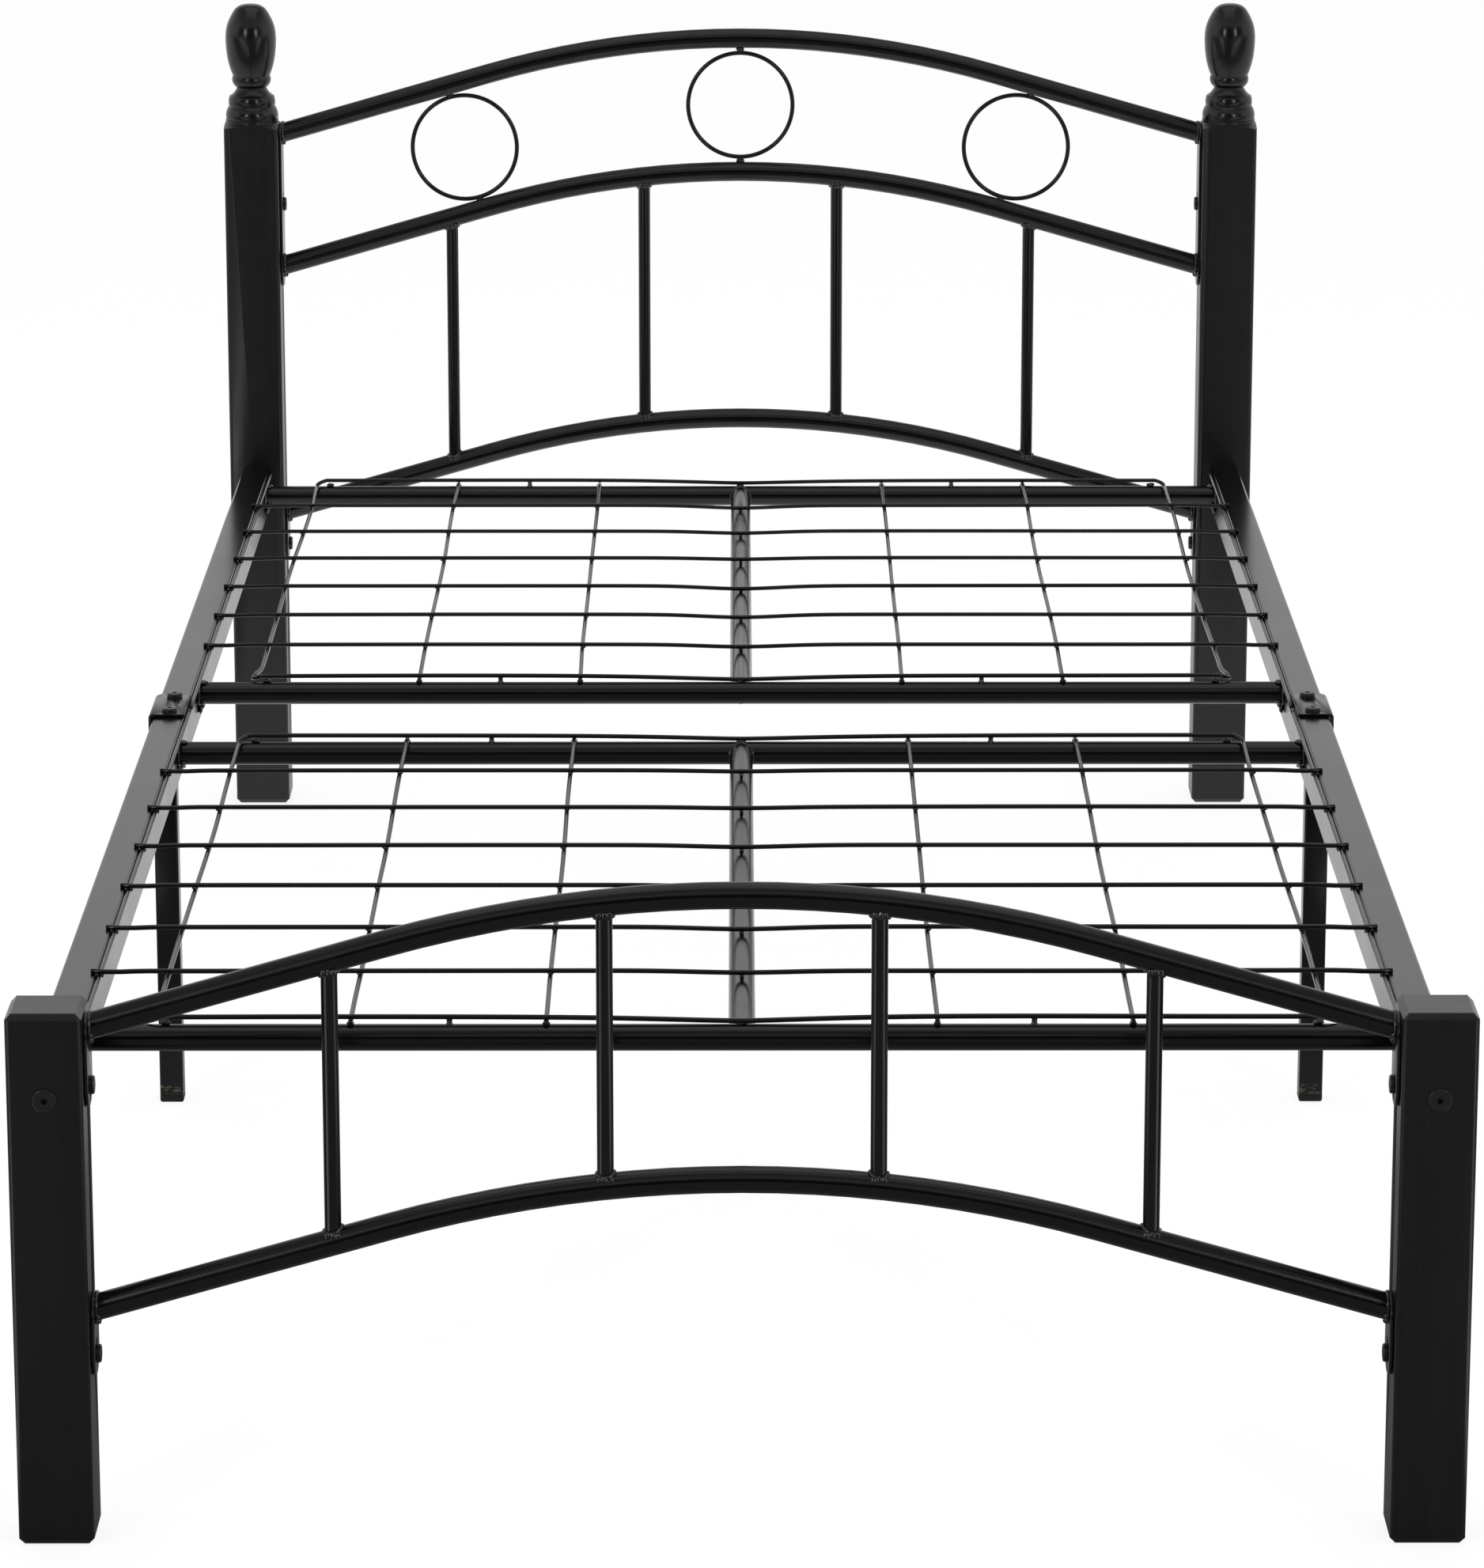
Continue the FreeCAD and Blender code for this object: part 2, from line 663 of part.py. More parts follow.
for end in ENDS:
    for side in SIDES:
        save("post_" + end + "_" + side, post(side, end))
        save("rail_" + end + "_" + side, half_rail(side, end))
for side in SIDES:
    save("finial_" + side, finial(side))
    save("joint_bracket_" + side, joint_bracket(side))
    save("middle_leg_" + side, middle_leg(side))
    for name, (end, top, bottom, screw_height, slot_way) in plates.items():
        plate = end_plate(side, ENDS[end] * post_y, top, bottom, screw_height, slot_way)
        save(name + "_" + side, plate)
save("finial_dowels", *[finial_dowel(side) for side in SIDES])
save("leg_plates", *[leg_plate(side) for side in SIDES])
save("leg_caps", *[leg_cap(side) for side in SIDES])
save("panel_screws", *[panel_screw(side, ENDS[plate[0]] * post_y, plate[3])
                       for plate in plates.values() for side in SIDES])
save("rail_plugs", *[rail_plug(side, end) for end in ENDS for side in SIDES])
save("post_bolts", *[post_bolt(side, end) for end in ENDS for side in SIDES])
save("joint_bolts", *[bracket_bolt(side, end) for end in ENDS for side in SIDES])
save("joint_nuts", *[bracket_nut(side, end) for end in ENDS for side in SIDES])

save("footboard_upper_arch", arch_tube(crown["foot_upper"], -post_y))
save("footboard_lower_arch", arch_tube(crown["foot_lower"], -post_y))
save("headboard_top_arch", arch_tube(crown["head_top"], post_y))
save("headboard_middle_arch", arch_tube(crown["head_middle"], post_y))
save("headboard_lower_arch", arch_tube(crown["head_lower"], post_y))
for k in range(spindles_per_panel):
    x = (k - (spindles_per_panel - 1) / 2) * spindle_pitch
    number = str(k + 1)
    save("footboard_spindle_" + number, spindle(x, -post_y, crown["foot_upper"], crown["foot_lower"]))
    save("headboard_spindle_" + number, spindle(x, post_y, crown["head_middle"], crown["head_lower"]))
for name, x in (("left", -ring_pitch), ("centre", 0), ("right", ring_pitch)):
    save("headboard_ring_" + name, ring(x, post_y, crown["head_top"], crown["head_middle"]))

half_places = (cross_tube_to_joint, outer_cross_tube_y)
cross_tube_places = sorted([-y for y in half_places] + list(half_places))
for k, y in enumerate(cross_tube_places):
    save("cross_tube_" + str(k + 1), cross_tube(y))
for end in ENDS:
    save("centre_tube_" + end, centre_tube(end))
    save("long_wires_" + end, *long_wires(end))
    save("cross_wires_" + end, *cross_wires(end))
save("end_wires", *[end_wire(y) for y in cross_tube_places])
save("border_wires", *[border_wire(side, end) for end in ENDS for side in SIDES])
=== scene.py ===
"""Looks of a single bed frame: lacquered timber posts, powder-coated tubes and a welded wire deck.

Metres throughout. X runs across the bed, Y along it towards the headboard, and Z is up from the floor.
"""

from __future__ import annotations

import json
import logging
import math
import random
from dataclasses import dataclass, field
from enum import Enum
from typing import Callable, Iterable, Sequence

import bmesh
import bpy
from mathutils import Matrix, Vector, noise

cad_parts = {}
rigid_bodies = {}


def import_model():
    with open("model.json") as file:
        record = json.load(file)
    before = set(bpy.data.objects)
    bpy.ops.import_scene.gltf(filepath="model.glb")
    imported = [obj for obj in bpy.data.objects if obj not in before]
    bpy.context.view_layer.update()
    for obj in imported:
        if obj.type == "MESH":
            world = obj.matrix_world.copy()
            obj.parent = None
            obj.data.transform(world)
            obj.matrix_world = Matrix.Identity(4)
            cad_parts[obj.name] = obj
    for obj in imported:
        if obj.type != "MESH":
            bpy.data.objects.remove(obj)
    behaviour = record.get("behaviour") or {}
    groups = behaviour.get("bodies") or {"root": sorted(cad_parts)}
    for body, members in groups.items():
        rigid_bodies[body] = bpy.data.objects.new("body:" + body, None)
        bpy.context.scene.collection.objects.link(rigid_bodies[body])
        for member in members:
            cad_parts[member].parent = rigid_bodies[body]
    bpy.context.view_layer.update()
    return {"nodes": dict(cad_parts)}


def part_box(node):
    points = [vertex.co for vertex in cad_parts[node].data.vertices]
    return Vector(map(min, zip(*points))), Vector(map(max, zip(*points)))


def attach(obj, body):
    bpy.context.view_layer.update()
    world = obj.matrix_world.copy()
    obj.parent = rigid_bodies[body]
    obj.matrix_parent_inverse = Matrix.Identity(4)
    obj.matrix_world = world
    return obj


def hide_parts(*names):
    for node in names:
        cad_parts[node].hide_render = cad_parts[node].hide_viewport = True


for leftover in list(bpy.data.objects):
    bpy.data.objects.remove(leftover)
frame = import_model()

LOG = logging.getLogger("bed_frame")
BODY = "root"
RANGE_SOCKETS = ("From Min", "From Max", "To Min", "To Max")
Colour = tuple[float, float, float]


class BedEnd(Enum):
    """One end of the bed."""

    FOOT = "foot"
    HEAD = "head"


class Side(Enum):
    """One side of the bed, seen from the foot."""

    LEFT = "left"
    RIGHT = "right"

    @property
    def sign(self) -> int:
        """The side's direction along X."""
        return -1 if self is Side.LEFT else 1


class Slot(Enum):
    """The record's material slots, by name. Nothing in this script reads them."""

    TIMBER = "lacquered_timber"
    PANEL = "panel_powder_coat"
    RAIL = "rail_powder_coat"
    DECK = "deck_powder_coat"


# Finishes


class ShaderSheet:
    """A material's node tree, with short calls that add nodes and join them."""

    def __init__(self, name: str) -> None:
        """Start an empty tree.

        Args:
            name: The material's name.
        """
        self.material = bpy.data.materials.new(name)
        self.material.use_nodes = True
        self.tree = self.material.node_tree
        self.tree.nodes.clear()
        self.shader = self.add("ShaderNodeBsdfPrincipled")
        output = self.add("ShaderNodeOutputMaterial")
        self.join(self.shader.outputs["BSDF"], output.inputs["Surface"])

    def add(self, kind: str, **settings: object) -> bpy.types.Node:
        """Add one node.

        Args:
            kind: The node's type name.
            **settings: Attributes to set on it.

        Returns:
            The new node.
        """
        node = self.tree.nodes.new(kind)
        for key, value in settings.items():
            setattr(node, key, value)
        return node

    def join(self, source: bpy.types.NodeSocket, target: bpy.types.NodeSocket) -> None:
        """Link an output socket to an input socket."""
        self.tree.links.new(source, target)

    def coordinates(self, stretch: Colour = (1.0, 1.0, 1.0)) -> bpy.types.NodeSocket:
        """Object coordinates, scaled along each axis.

        Args:
            stretch: The factor for each axis.

        Returns:
            The vector output.
        """
        source = self.add("ShaderNodeTexCoord")
        mapping = self.add("ShaderNodeMapping")
        mapping.inputs["Scale"].default_value = stretch
        self.join(source.outputs["Object"], mapping.inputs["Vector"])
        return mapping.outputs["Vector"]

    def noise(self, at: bpy.types.NodeSocket, scale: float, detail: float = 2.0,
              rough: float = 0.5) -> bpy.types.NodeSocket:
        """A noise pattern.

        Args:
            at: Where the pattern is read.
            scale: Features per metre.
            detail: Octaves.
            rough: Weight of the finer octaves.

        Returns:
            The pattern's value, from 0 to 1.
        """
        node = self.add("ShaderNodeTexNoise")
        node.inputs["Scale"].default_value = scale
        node.inputs["Detail"].default_value = detail
        node.inputs["Roughness"].default_value = rough
        self.join(at, node.inputs["Vector"])
        return node.outputs["Fac"]

    def remap(self, value: bpy.types.NodeSocket, low: float, high: float, to_low: float,
              to_high: float) -> bpy.types.NodeSocket:
        """A value moved from one range to another, and held inside it.

        Args:
            value: The value to move.
            low: Start of its range.
            high: End of its range.
            to_low: What the start becomes.
            to_high: What the end becomes.

        Returns:
            The moved value.
        """
        node = self.add("ShaderNodeMapRange")
        for name, number in zip(RANGE_SOCKETS, (low, high, to_low, to_high)):
            node.inputs[name].default_value = number
        self.join(value, node.inputs["Value"])
        return node.outputs["Result"]

    def combine(self, operation: str, first: bpy.types.NodeSocket,
                second: bpy.types.NodeSocket | float) -> bpy.types.NodeSocket:
        """Two values joined by a math operation.

        Args:
            operation: The math node's operation.
            first: The first value.
            second: The second value, a socket or a number.

        Returns:
            The result.
        """
        node = self.add("ShaderNodeMath", operation=operation)
        self.join(first, node.inputs[0])
        if isinstance(second, (int, float)):
            node.inputs[1].default_value = second
        else:
            self.join(second, node.inputs[1])
        return node.outputs["Value"]

    def blend(self, factor: bpy.types.NodeSocket, first: Colour, second: Colour) -> bpy.types.NodeSocket:
        """A colour between two colours.

        Args:
            factor: 0 gives the first colour and 1 the second.
            first: The first colour.
            second: The second colour.

        Returns:
            The mixed colour.
        """
        node = self.add("ShaderNodeMix", data_type="RGBA")
        node.inputs["A"].default_value = (*first, 1.0)
        node.inputs["B"].default_value = (*second, 1.0)
        self.join(factor, node.inputs["Factor"])
        return node.outputs["Result"]

    def bump(self, height: bpy.types.NodeSocket, depth: float) -> None:
        """Raise the surface by a pattern.

        Args:
            height: The pattern, from 0 to 1.
            depth: The rise at 1, in metres.
        """
        node = self.add("ShaderNodeBump")
        node.inputs["Distance"].default_value = depth
        self.join(height, node.inputs["Height"])
        self.join(node.outputs["Normal"], self.shader.inputs["Normal"])

    def set(self, **values: float) -> None:
        """Set the shader's own sockets. An underscore in a name stands for a space."""
        for key, value in values.items():
            self.shader.inputs[key.replace("_", " ")].default_value = value


@dataclass(frozen=True)
class PowderCoat:
    """Black powder coat on steel, with orange peel, fine dust and, near the floor, scuffs."""

    name: str
    base: Colour = (0.0032, 0.0031, 0.0031)
    dust: Colour = (0.011, 0.0105, 0.010)
    roughness: float = 0.19
    roughness_spread: float = 0.025
    peel_per_metre: float = 620.0
    peel_depth: float = 0.000012
    shine: float = 0.5
    dust_per_metre: float = 1500.0
    clouds_per_metre: float = 14.0
    scuff: Colour = (0.24, 0.20, 0.15)
    scuff_from: float = 0.0
    scuff_to: float = 0.0
    scuff_edge: float = 0.003
    scuff_roughness: float = 0.6
    scuffs_per_metre: float = 240.0

    def material(self) -> bpy.types.Material:
        """Build the finish."""
        sheet = ShaderSheet(self.name)
        at = sheet.coordinates()
        dusty = sheet.remap(sheet.noise(at, self.dust_per_metre, 3.0, 0.7), 0.60, 0.78, 0.0, 1.0)
        cloudy = sheet.noise(at, self.clouds_per_metre, 4.0)
        colour = sheet.blend(sheet.combine("MULTIPLY", dusty, cloudy), self.base, self.dust)
        spread = self.roughness_spread
        rough = sheet.remap(cloudy, 0.3, 0.7, self.roughness - spread, self.roughness + spread)
        if self.scuff_to > self.scuff_from:
            colour, rough = self._scuffed(sheet, at, colour, rough)
        sheet.join(colour, sheet.shader.inputs["Base Color"])
        sheet.join(rough, sheet.shader.inputs["Roughness"])
        peel = sheet.combine("ADD", sheet.noise(at, self.peel_per_metre, 2.0), dusty)
        sheet.bump(peel, self.peel_depth)
        sheet.set(Specular_IOR_Level=self.shine)
        return sheet.material

    def _scuffed(self, sheet: ShaderSheet, at: bpy.types.NodeSocket, colour: bpy.types.NodeSocket,
                 rough: bpy.types.NodeSocket) -> tuple[bpy.types.NodeSocket, bpy.types.NodeSocket]:
        """Wear the coat through in ragged marks between two heights.

        Args:
            sheet: The material's tree.
            at: Object coordinates.
            colour: The colour of the unworn coat.
            rough: The roughness of the unworn coat.

        Returns:
            The worn colour and roughness.
        """
        parts = sheet.add("ShaderNodeSeparateXYZ")
        sheet.join(at, parts.inputs["Vector"])
        height = parts.outputs["Z"]
        edge = self.scuff_edge
        above = sheet.remap(height, self.scuff_from, self.scuff_from + edge, 0.0, 1.0)
        below = sheet.remap(height, self.scuff_to - edge, self.scuff_to, 1.0, 0.0)
        band = sheet.combine("MULTIPLY", above, below)
        ragged = sheet.noise(sheet.coordinates((1.0, 1.0, 1.8)), self.scuffs_per_metre, 5.0, 0.75)
        marks = sheet.combine("MULTIPLY", band, sheet.remap(ragged, 0.53, 0.56, 0.0, 1.0))
        worn = sheet.add("ShaderNodeMix", data_type="RGBA")
        worn.inputs["B"].default_value = (*self.scuff, 1.0)
        sheet.join(marks, worn.inputs["Factor"])
        sheet.join(colour, worn.inputs["A"])
        dull = sheet.combine("MULTIPLY", marks, self.scuff_roughness)
        return worn.outputs["Result"], sheet.combine("MAXIMUM", rough, dull)


@dataclass(frozen=True)
class LacqueredTimber:
    """Black lacquer over timber: faint upright grain, pores and specks of dust."""

    name: str
    base: Colour = (0.0046, 0.0046, 0.0049)
    grain: Colour = (0.0085, 0.0085, 0.0088)
    speck: Colour = (0.05, 0.048, 0.045)
    roughness: float = 0.31
    grain_stretch: Colour = (1.0, 1.0, 0.045)
    grain_per_metre: float = 420.0
    grain_depth: float = 0.00005
    specks_per_metre: float = 900.0
    film_per_metre: float = 1500.0
    clouds_per_metre: float = 22.0

    def material(self) -> bpy.types.Material:
        """Build the finish."""
        sheet = ShaderSheet(self.name)
        at = sheet.coordinates()
        along = sheet.coordinates(self.grain_stretch)
        fibres = sheet.noise(along, self.grain_per_metre, 5.0, 0.62)
        figure = sheet.noise(along, self.grain_per_metre * 0.14, 2.0, 0.5)
        pattern = sheet.combine("MULTIPLY", fibres, sheet.remap(figure, 0.35, 0.65, 0.55, 1.0))
        colour = sheet.blend(sheet.remap(pattern, 0.25, 0.55, 0.0, 1.0), self.base, self.grain)
        specks = sheet.remap(sheet.noise(at, self.specks_per_metre, 2.0, 0.5), 0.70, 0.76, 0.0, 1.0)
        dusted = sheet.add("ShaderNodeMix", data_type="RGBA")
        dusted.inputs["B"].default_value = (*self.speck, 1.0)
        sheet.join(specks, dusted.inputs["Factor"])
        sheet.join(colour, dusted.inputs["A"])
        sheet.join(dusted.outputs["Result"], sheet.shader.inputs["Base Color"])
        cloudy = sheet.noise(at, self.clouds_per_metre, 3.0)
        rough = sheet.remap(cloudy, 0.3, 0.7, self.roughness - 0.02, self.roughness + 0.03)
        sheet.join(rough, sheet.shader.inputs["Roughness"])
        film = sheet.noise(at, self.film_per_metre, 2.0)
        sheet.bump(sheet.combine("ADD", pattern, film), self.grain_depth)
        sheet.set(Specular_IOR_Level=0.5)
        return sheet.material


@dataclass(frozen=True)
class DarkenedSteel:
    """Blackened or plated steel, with fine turning marks and a mottled film."""

    name: str
    base: Colour = (0.036, 0.033, 0.031)
    film: Colour = (0.021, 0.020, 0.019)
    roughness: float = 0.27
    metal: float = 0.35
    mottles_per_metre: float = 380.0
    marks_per_metre: float = 2600.0
    mark_depth: float = 0.00002

    def material(self) -> bpy.types.Material:
        """Build the finish."""
        sheet = ShaderSheet(self.name)
        at = sheet.coordinates()
        mottle = sheet.noise(at, self.mottles_per_metre, 4.0, 0.6)
        colour = sheet.blend(sheet.remap(mottle, 0.35, 0.65, 0.0, 1.0), self.base, self.film)
        sheet.join(colour, sheet.shader.inputs["Base Color"])
        rough = sheet.remap(mottle, 0.3, 0.7, self.roughness - 0.06, self.roughness + 0.08)
        sheet.join(rough, sheet.shader.inputs["Roughness"])
        sheet.bump(sheet.noise(at, self.marks_per_metre, 2.0), self.mark_depth)
        sheet.set(Metallic=self.metal)
        return sheet.material


@dataclass(frozen=True)
class PlainTimber:
    """Unfinished beech, for the dowels inside the finials."""

    name: str
    pale: Colour = (0.55, 0.40, 0.25)
    dark: Colour = (0.42, 0.28, 0.16)
    fibres_per_metre: float = 700.0
    fibre_depth: float = 0.00005

    def material(self) -> bpy.types.Material:
        """Build the finish."""
        sheet = ShaderSheet(self.name)
        fibres = sheet.noise(sheet.coordinates((1.0, 1.0, 0.08)), self.fibres_per_metre, 4.0, 0.6)
        sheet.join(sheet.blend(fibres, self.pale, self.dark), sheet.shader.inputs["Base Color"])
        sheet.bump(fibres, self.fibre_depth)
        sheet.set(Roughness=0.62)
        return sheet.material


@dataclass(frozen=True)
class MouldedPlastic:
    """Black moulded plastic with a fine spark-eroded texture and floor rub."""

    name: str
    base: Colour = (0.0085, 0.0085, 0.0090)
    rub: Colour = (0.030, 0.028, 0.026)
    roughness: float = 0.46
    rubs_per_metre: float = 320.0
    pits_per_metre: float = 2400.0
    pit_depth: float = 0.00004

    def material(self) -> bpy.types.Material:
        """Build the finish."""
        sheet = ShaderSheet(self.name)
        at = sheet.coordinates()
        rubbed = sheet.remap(sheet.noise(at, self.rubs_per_metre, 4.0, 0.65), 0.5, 0.72, 0.0, 1.0)
        sheet.join(sheet.blend(rubbed, self.base, self.rub), sheet.shader.inputs["Base Color"])
        sheet.bump(sheet.noise(at, self.pits_per_metre, 2.0), self.pit_depth)
        sheet.set(Roughness=self.roughness)
        return sheet.material


class Finishes:
    """Every finish of the bed, built once."""

    def __init__(self) -> None:
        """Build the materials."""
        self.panel = PowderCoat("panel_powder_coat").material()
        self.rail = PowderCoat("rail_powder_coat", roughness=0.20, roughness_spread=0.015).material()
        self.deck = PowderCoat("deck_powder_coat", roughness=0.19, peel_depth=0.000004).material()
        self.weld = PowderCoat("weld_powder_coat", roughness=0.08, roughness_spread=0.02,
                               peel_per_metre=1300.0, peel_depth=0.00005, shine=0.9).material()
        self.leg = PowderCoat("leg_powder_coat", scuff_from=0.006, scuff_to=0.016).material()
        self.timber = LacqueredTimber("black_lacquered_timber").material()
        self.turned = LacqueredTimber("black_turned_timber", roughness=0.21,
                                      grain_depth=0.000002).material()
        self.steel = DarkenedSteel("blackened_steel").material()
        self.plated = DarkenedSteel("plated_steel", base=(0.55, 0.56, 0.57), film=(0.42, 0.43, 0.44),
                                    roughness=0.3, metal=1.0).material()
        self.beech = PlainTimber("plain_beech").material()
        self.plastic = MouldedPlastic("black_moulded_plastic").material()


# Shapes


@dataclass(frozen=True)
class DropSizes:
    """Half sizes of the drops of weld metal, in metres."""

    tube_end: Colour = (0.0024, 0.0019, 0.0022)
    spindle: Colour = (0.0024, 0.0018, 0.0030)
    ring: Colour = (0.0040, 0.0028, 0.0024)
    wire_tip: Colour = (0.0026, 0.0019, 0.0022)
    wire_drip: Colour = (0.0013, 0.0019, 0.0023)
    middle_tack: Colour = (0.0036, 0.0022, 0.0016)
    wire_tack: Colour = (0.0026, 0.0022, 0.0013)
    corner_tack: Colour = (0.0036, 0.0020, 0.0017)
    tube_heap: Colour = (0.0052, 0.0042, 0.0019)
    tube_drip: Colour = (0.0034, 0.0042, 0.0036)
    tube_point: Colour = (0.0021, 0.0024, 0.0042)
    tube_side: Colour = (0.0032, 0.0020, 0.0020)


DROPS = DropSizes()


class Forge:
    """A growing mesh of bars, beads and lumps that ends as one piece."""

    def __init__(self) -> None:
        """Start with nothing."""
        self.whole = bmesh.new()

    def _take(self, part: bmesh.types.BMesh) -> None:
        """Add a finished part to the whole."""
        bmesh.ops.recalc_face_normals(part, faces=part.faces)
        carrier = bpy.data.meshes.new("carrier")
        part.to_mesh(carrier)
        part.free()
        self.whole.from_mesh(carrier)
        bpy.data.meshes.remove(carrier)

    def bar(self, path: Sequence[Vector], radii: Sequence[float], sides: int = 12,
            closed: bool = False) -> None:
        """Sweep a round section along a path.

        Args:
            path: The points along its middle.
            radii: The section's radius at each point.
            sides: Faces round the section.
            closed: Whether the path runs back into its first point.
        """
        part = bmesh.new()
        places = self._places(path, radii, closed)
        ring = bmesh.ops.create_circle(part, segments=sides, radius=1.0, matrix=places[0])["verts"]
        first = list({edge for vert in ring for edge in vert.link_edges})
        edges = first
        for before, after in zip(places, places[1:]):
            grown = bmesh.ops.extrude_edge_only(part, edges=edges)["geom"]
            verts = [item for item in grown if isinstance(item, bmesh.types.BMVert)]
            edges = [item for item in grown if isinstance(item, bmesh.types.BMEdge)]
            bmesh.ops.transform(part, matrix=after @ before.inverted(), verts=verts)
        if closed:
            bmesh.ops.bridge_loops(part, edges=first + edges)
        else:
            bmesh.ops.edgeloop_fill(part, edges=first)
            bmesh.ops.edgeloop_fill(part, edges=edges)
        self._take(part)

    @staticmethod
    def _places(path: Sequence[Vector], radii: Sequence[float], closed: bool) -> list[Matrix]:
        """The section's place at each point, turned as little as possible from one to the next."""
        count = len(path)
        places = []
        across = None
        for k, point in enumerate(path):
            ahead = path[(k + 1) % count] if closed or k + 1 < count else point
            behind = path[k - 1] if closed or k > 0 else point
            way = (ahead - behind).normalized()
            if across is None:
                across = way.orthogonal().normalized()
            across = (across - way * across.dot(way)).normalized()
            other = way.cross(across)
            turn = Matrix((across, other, way)).transposed().to_4x4()
            places.append(Matrix.Translation(point) @ turn @ Matrix.Scale(radii[k], 4))
        return places

    def wire(self, path: Sequence[Vector], radius: float, sides: int = 10) -> None:
        """A wire with cropped, slightly rounded ends.

        Args:
            path: The points along its middle.
            radius: Its radius.
            sides: Faces round it.
        """
        start, end = path[0], path[-1]
        into = (path[1] - start).normalized() * radius * 0.35
        back = (path[-2] - end).normalized() * radius * 0.35
        points = [start, start + into, *path[1:-1], end + back, end]
        radii = [radius * 0.72] + [radius] * (len(points) - 2) + [radius * 0.72]
        self.bar(points, radii, sides)

    def bead(self, path: Sequence[Vector], radius: float, seed: float, sides: int = 8) -> None:
        """A weld bead along a closed path, with ripples and uneven thickness.

        Args:
            path: The points along its middle.
            radius: Its mean radius.
            seed: Where its unevenness is read from.
            sides: Faces round it.
        """
        radii = []
        for point in path:
            swell = noise.noise(point * 300.0 + Vector((seed, seed * 2.0, 0.0)))
            ripple = noise.noise(point * 900.0 + Vector((0.0, seed, seed)))
            radii.append(radius * (1.0 + 0.35 * swell + 0.18 * ripple))
        self.bar(path, radii, sides, closed=True)

    def lump(self, centre: Vector, size: Sequence[float], seed: float, fineness: int = 2) -> None:
        """An uneven drop of weld metal.

        Args:
            centre: Its middle.
            size: Its half size along each axis.
            seed: Where its unevenness is read from.
            fineness: Subdivisions of its sphere.
        """
        part = bmesh.new()
        bmesh.ops.create_icosphere(part, subdivisions=fineness, radius=1.0)
        for vert in part.verts:
            swell = noise.noise(vert.co * 1.4 + Vector((seed, 0.0, seed)))
            pit = noise.noise(vert.co * 4.5 + Vector((0.0, seed, seed)))
            vert.co *= 1.0 + 0.28 * swell + 0.12 * pit
        bmesh.ops.scale(part, vec=Vector(size), verts=part.verts)
        bmesh.ops.translate(part, vec=centre, verts=part.verts)
        self._take(part)

    def finish(self, name: str, material: bpy.types.Material,
               stands_for: Iterable[str] = ()) -> bpy.types.Object:
        """Turn the mesh into a piece of the bed.

        Args:
            name: The piece's name.
            material: Its finish.
            stands_for: The CAD nodes that it replaces.

        Returns:
            The piece.
        """
        mesh = bpy.data.meshes.new(name)
        self.whole.to_mesh(mesh)
        self.whole.free()
        mesh.shade_smooth()
        mesh.set_sharp_from_angle(angle=math.radians(50.0))
        return place_piece(name, mesh, material, stands_for)


def place_piece(name: str, mesh: bpy.types.Mesh, material: bpy.types.Material,
                stands_for: Iterable[str]) -> bpy.types.Object:
    """Put a mesh in the scene as a piece that rides with the frame.

    Args:
        name: The piece's name.
        mesh: Its mesh, already in place.
        material: Its finish.
        stands_for: The CAD nodes that it replaces.

    Returns:
        The piece.
    """
    piece = bpy.data.objects.new(name, mesh)
    bpy.context.scene.collection.objects.link(piece)
    mesh.materials.clear()
    mesh.materials.append(material)
    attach(piece, BODY)
    nodes = list(stands_for)
    if nodes:
        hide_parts(*nodes)
    LOG.info("%s: %d faces", name, len(mesh.polygons))
    return piece


def dress(node: str, material: bpy.types.Material) -> None:
    """Give a CAD node its finish and leave its mesh alone."""
    mesh = frame["nodes"][node].data
    mesh.materials.clear()
    mesh.materials.append(material)
    LOG.info("%s: dressed", node)


def soften(node: str, material: bpy.types.Material, width: float,
           least: float = 30.0, most: float = 120.0, segments: int = 2) -> bpy.types.Object:
    """Stand a copy of a CAD node in its place, with its sharp edges broken.

    Args:
        node: The CAD node.
        material: Its finish.
        width: How far in the edges are broken, in metres.
        least: The least angle between two faces at a broken edge, in degrees.
        most: The greatest angle.
        segments: Faces across a broken edge.

    Returns:
        The piece.
    """
    shape = bmesh.new()
    shape.from_mesh(frame["nodes"][node].data)
    bmesh.ops.remove_doubles(shape, verts=shape.verts, dist=1e-6)
    bmesh.ops.dissolve_limit(shape, angle_limit=math.radians(0.4), verts=shape.verts, edges=shape.edges)
    sharp = [edge for edge in shape.edges if len(edge.link_faces) == 2
             and math.radians(least) < edge.calc_face_angle(0.0) < math.radians(most)]
    bmesh.ops.bevel(shape, geom=sharp, offset=width, offset_type="OFFSET", segments=segments, profile=0.5,
                    affect="EDGES", clamp_overlap=True, material=-1)
    mesh = bpy.data.meshes.new(node + "_eased")
    shape.to_mesh(mesh)
    shape.free()
    mesh.shade_smooth()
    mesh.set_sharp_from_angle(angle=math.radians(40.0))
    return place_piece(node + "_eased", mesh, material, [node])


def middle(node: str) -> Vector:
    """The middle of a CAD node's box."""
    low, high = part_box(node)
    return (low + high) / 2.0


def turns(count: int) -> list[float]:
    """Angles of evenly spaced steps round a circle."""
    return [2.0 * math.pi * k / count for k in range(count)]


def smooth_step(value: float) -> float:
    """A smooth rise from 0 to 1."""
    held = max(0.0, min(1.0, value))
    return held * held * (3.0 - 2.0 * held)


# Sub-assemblies


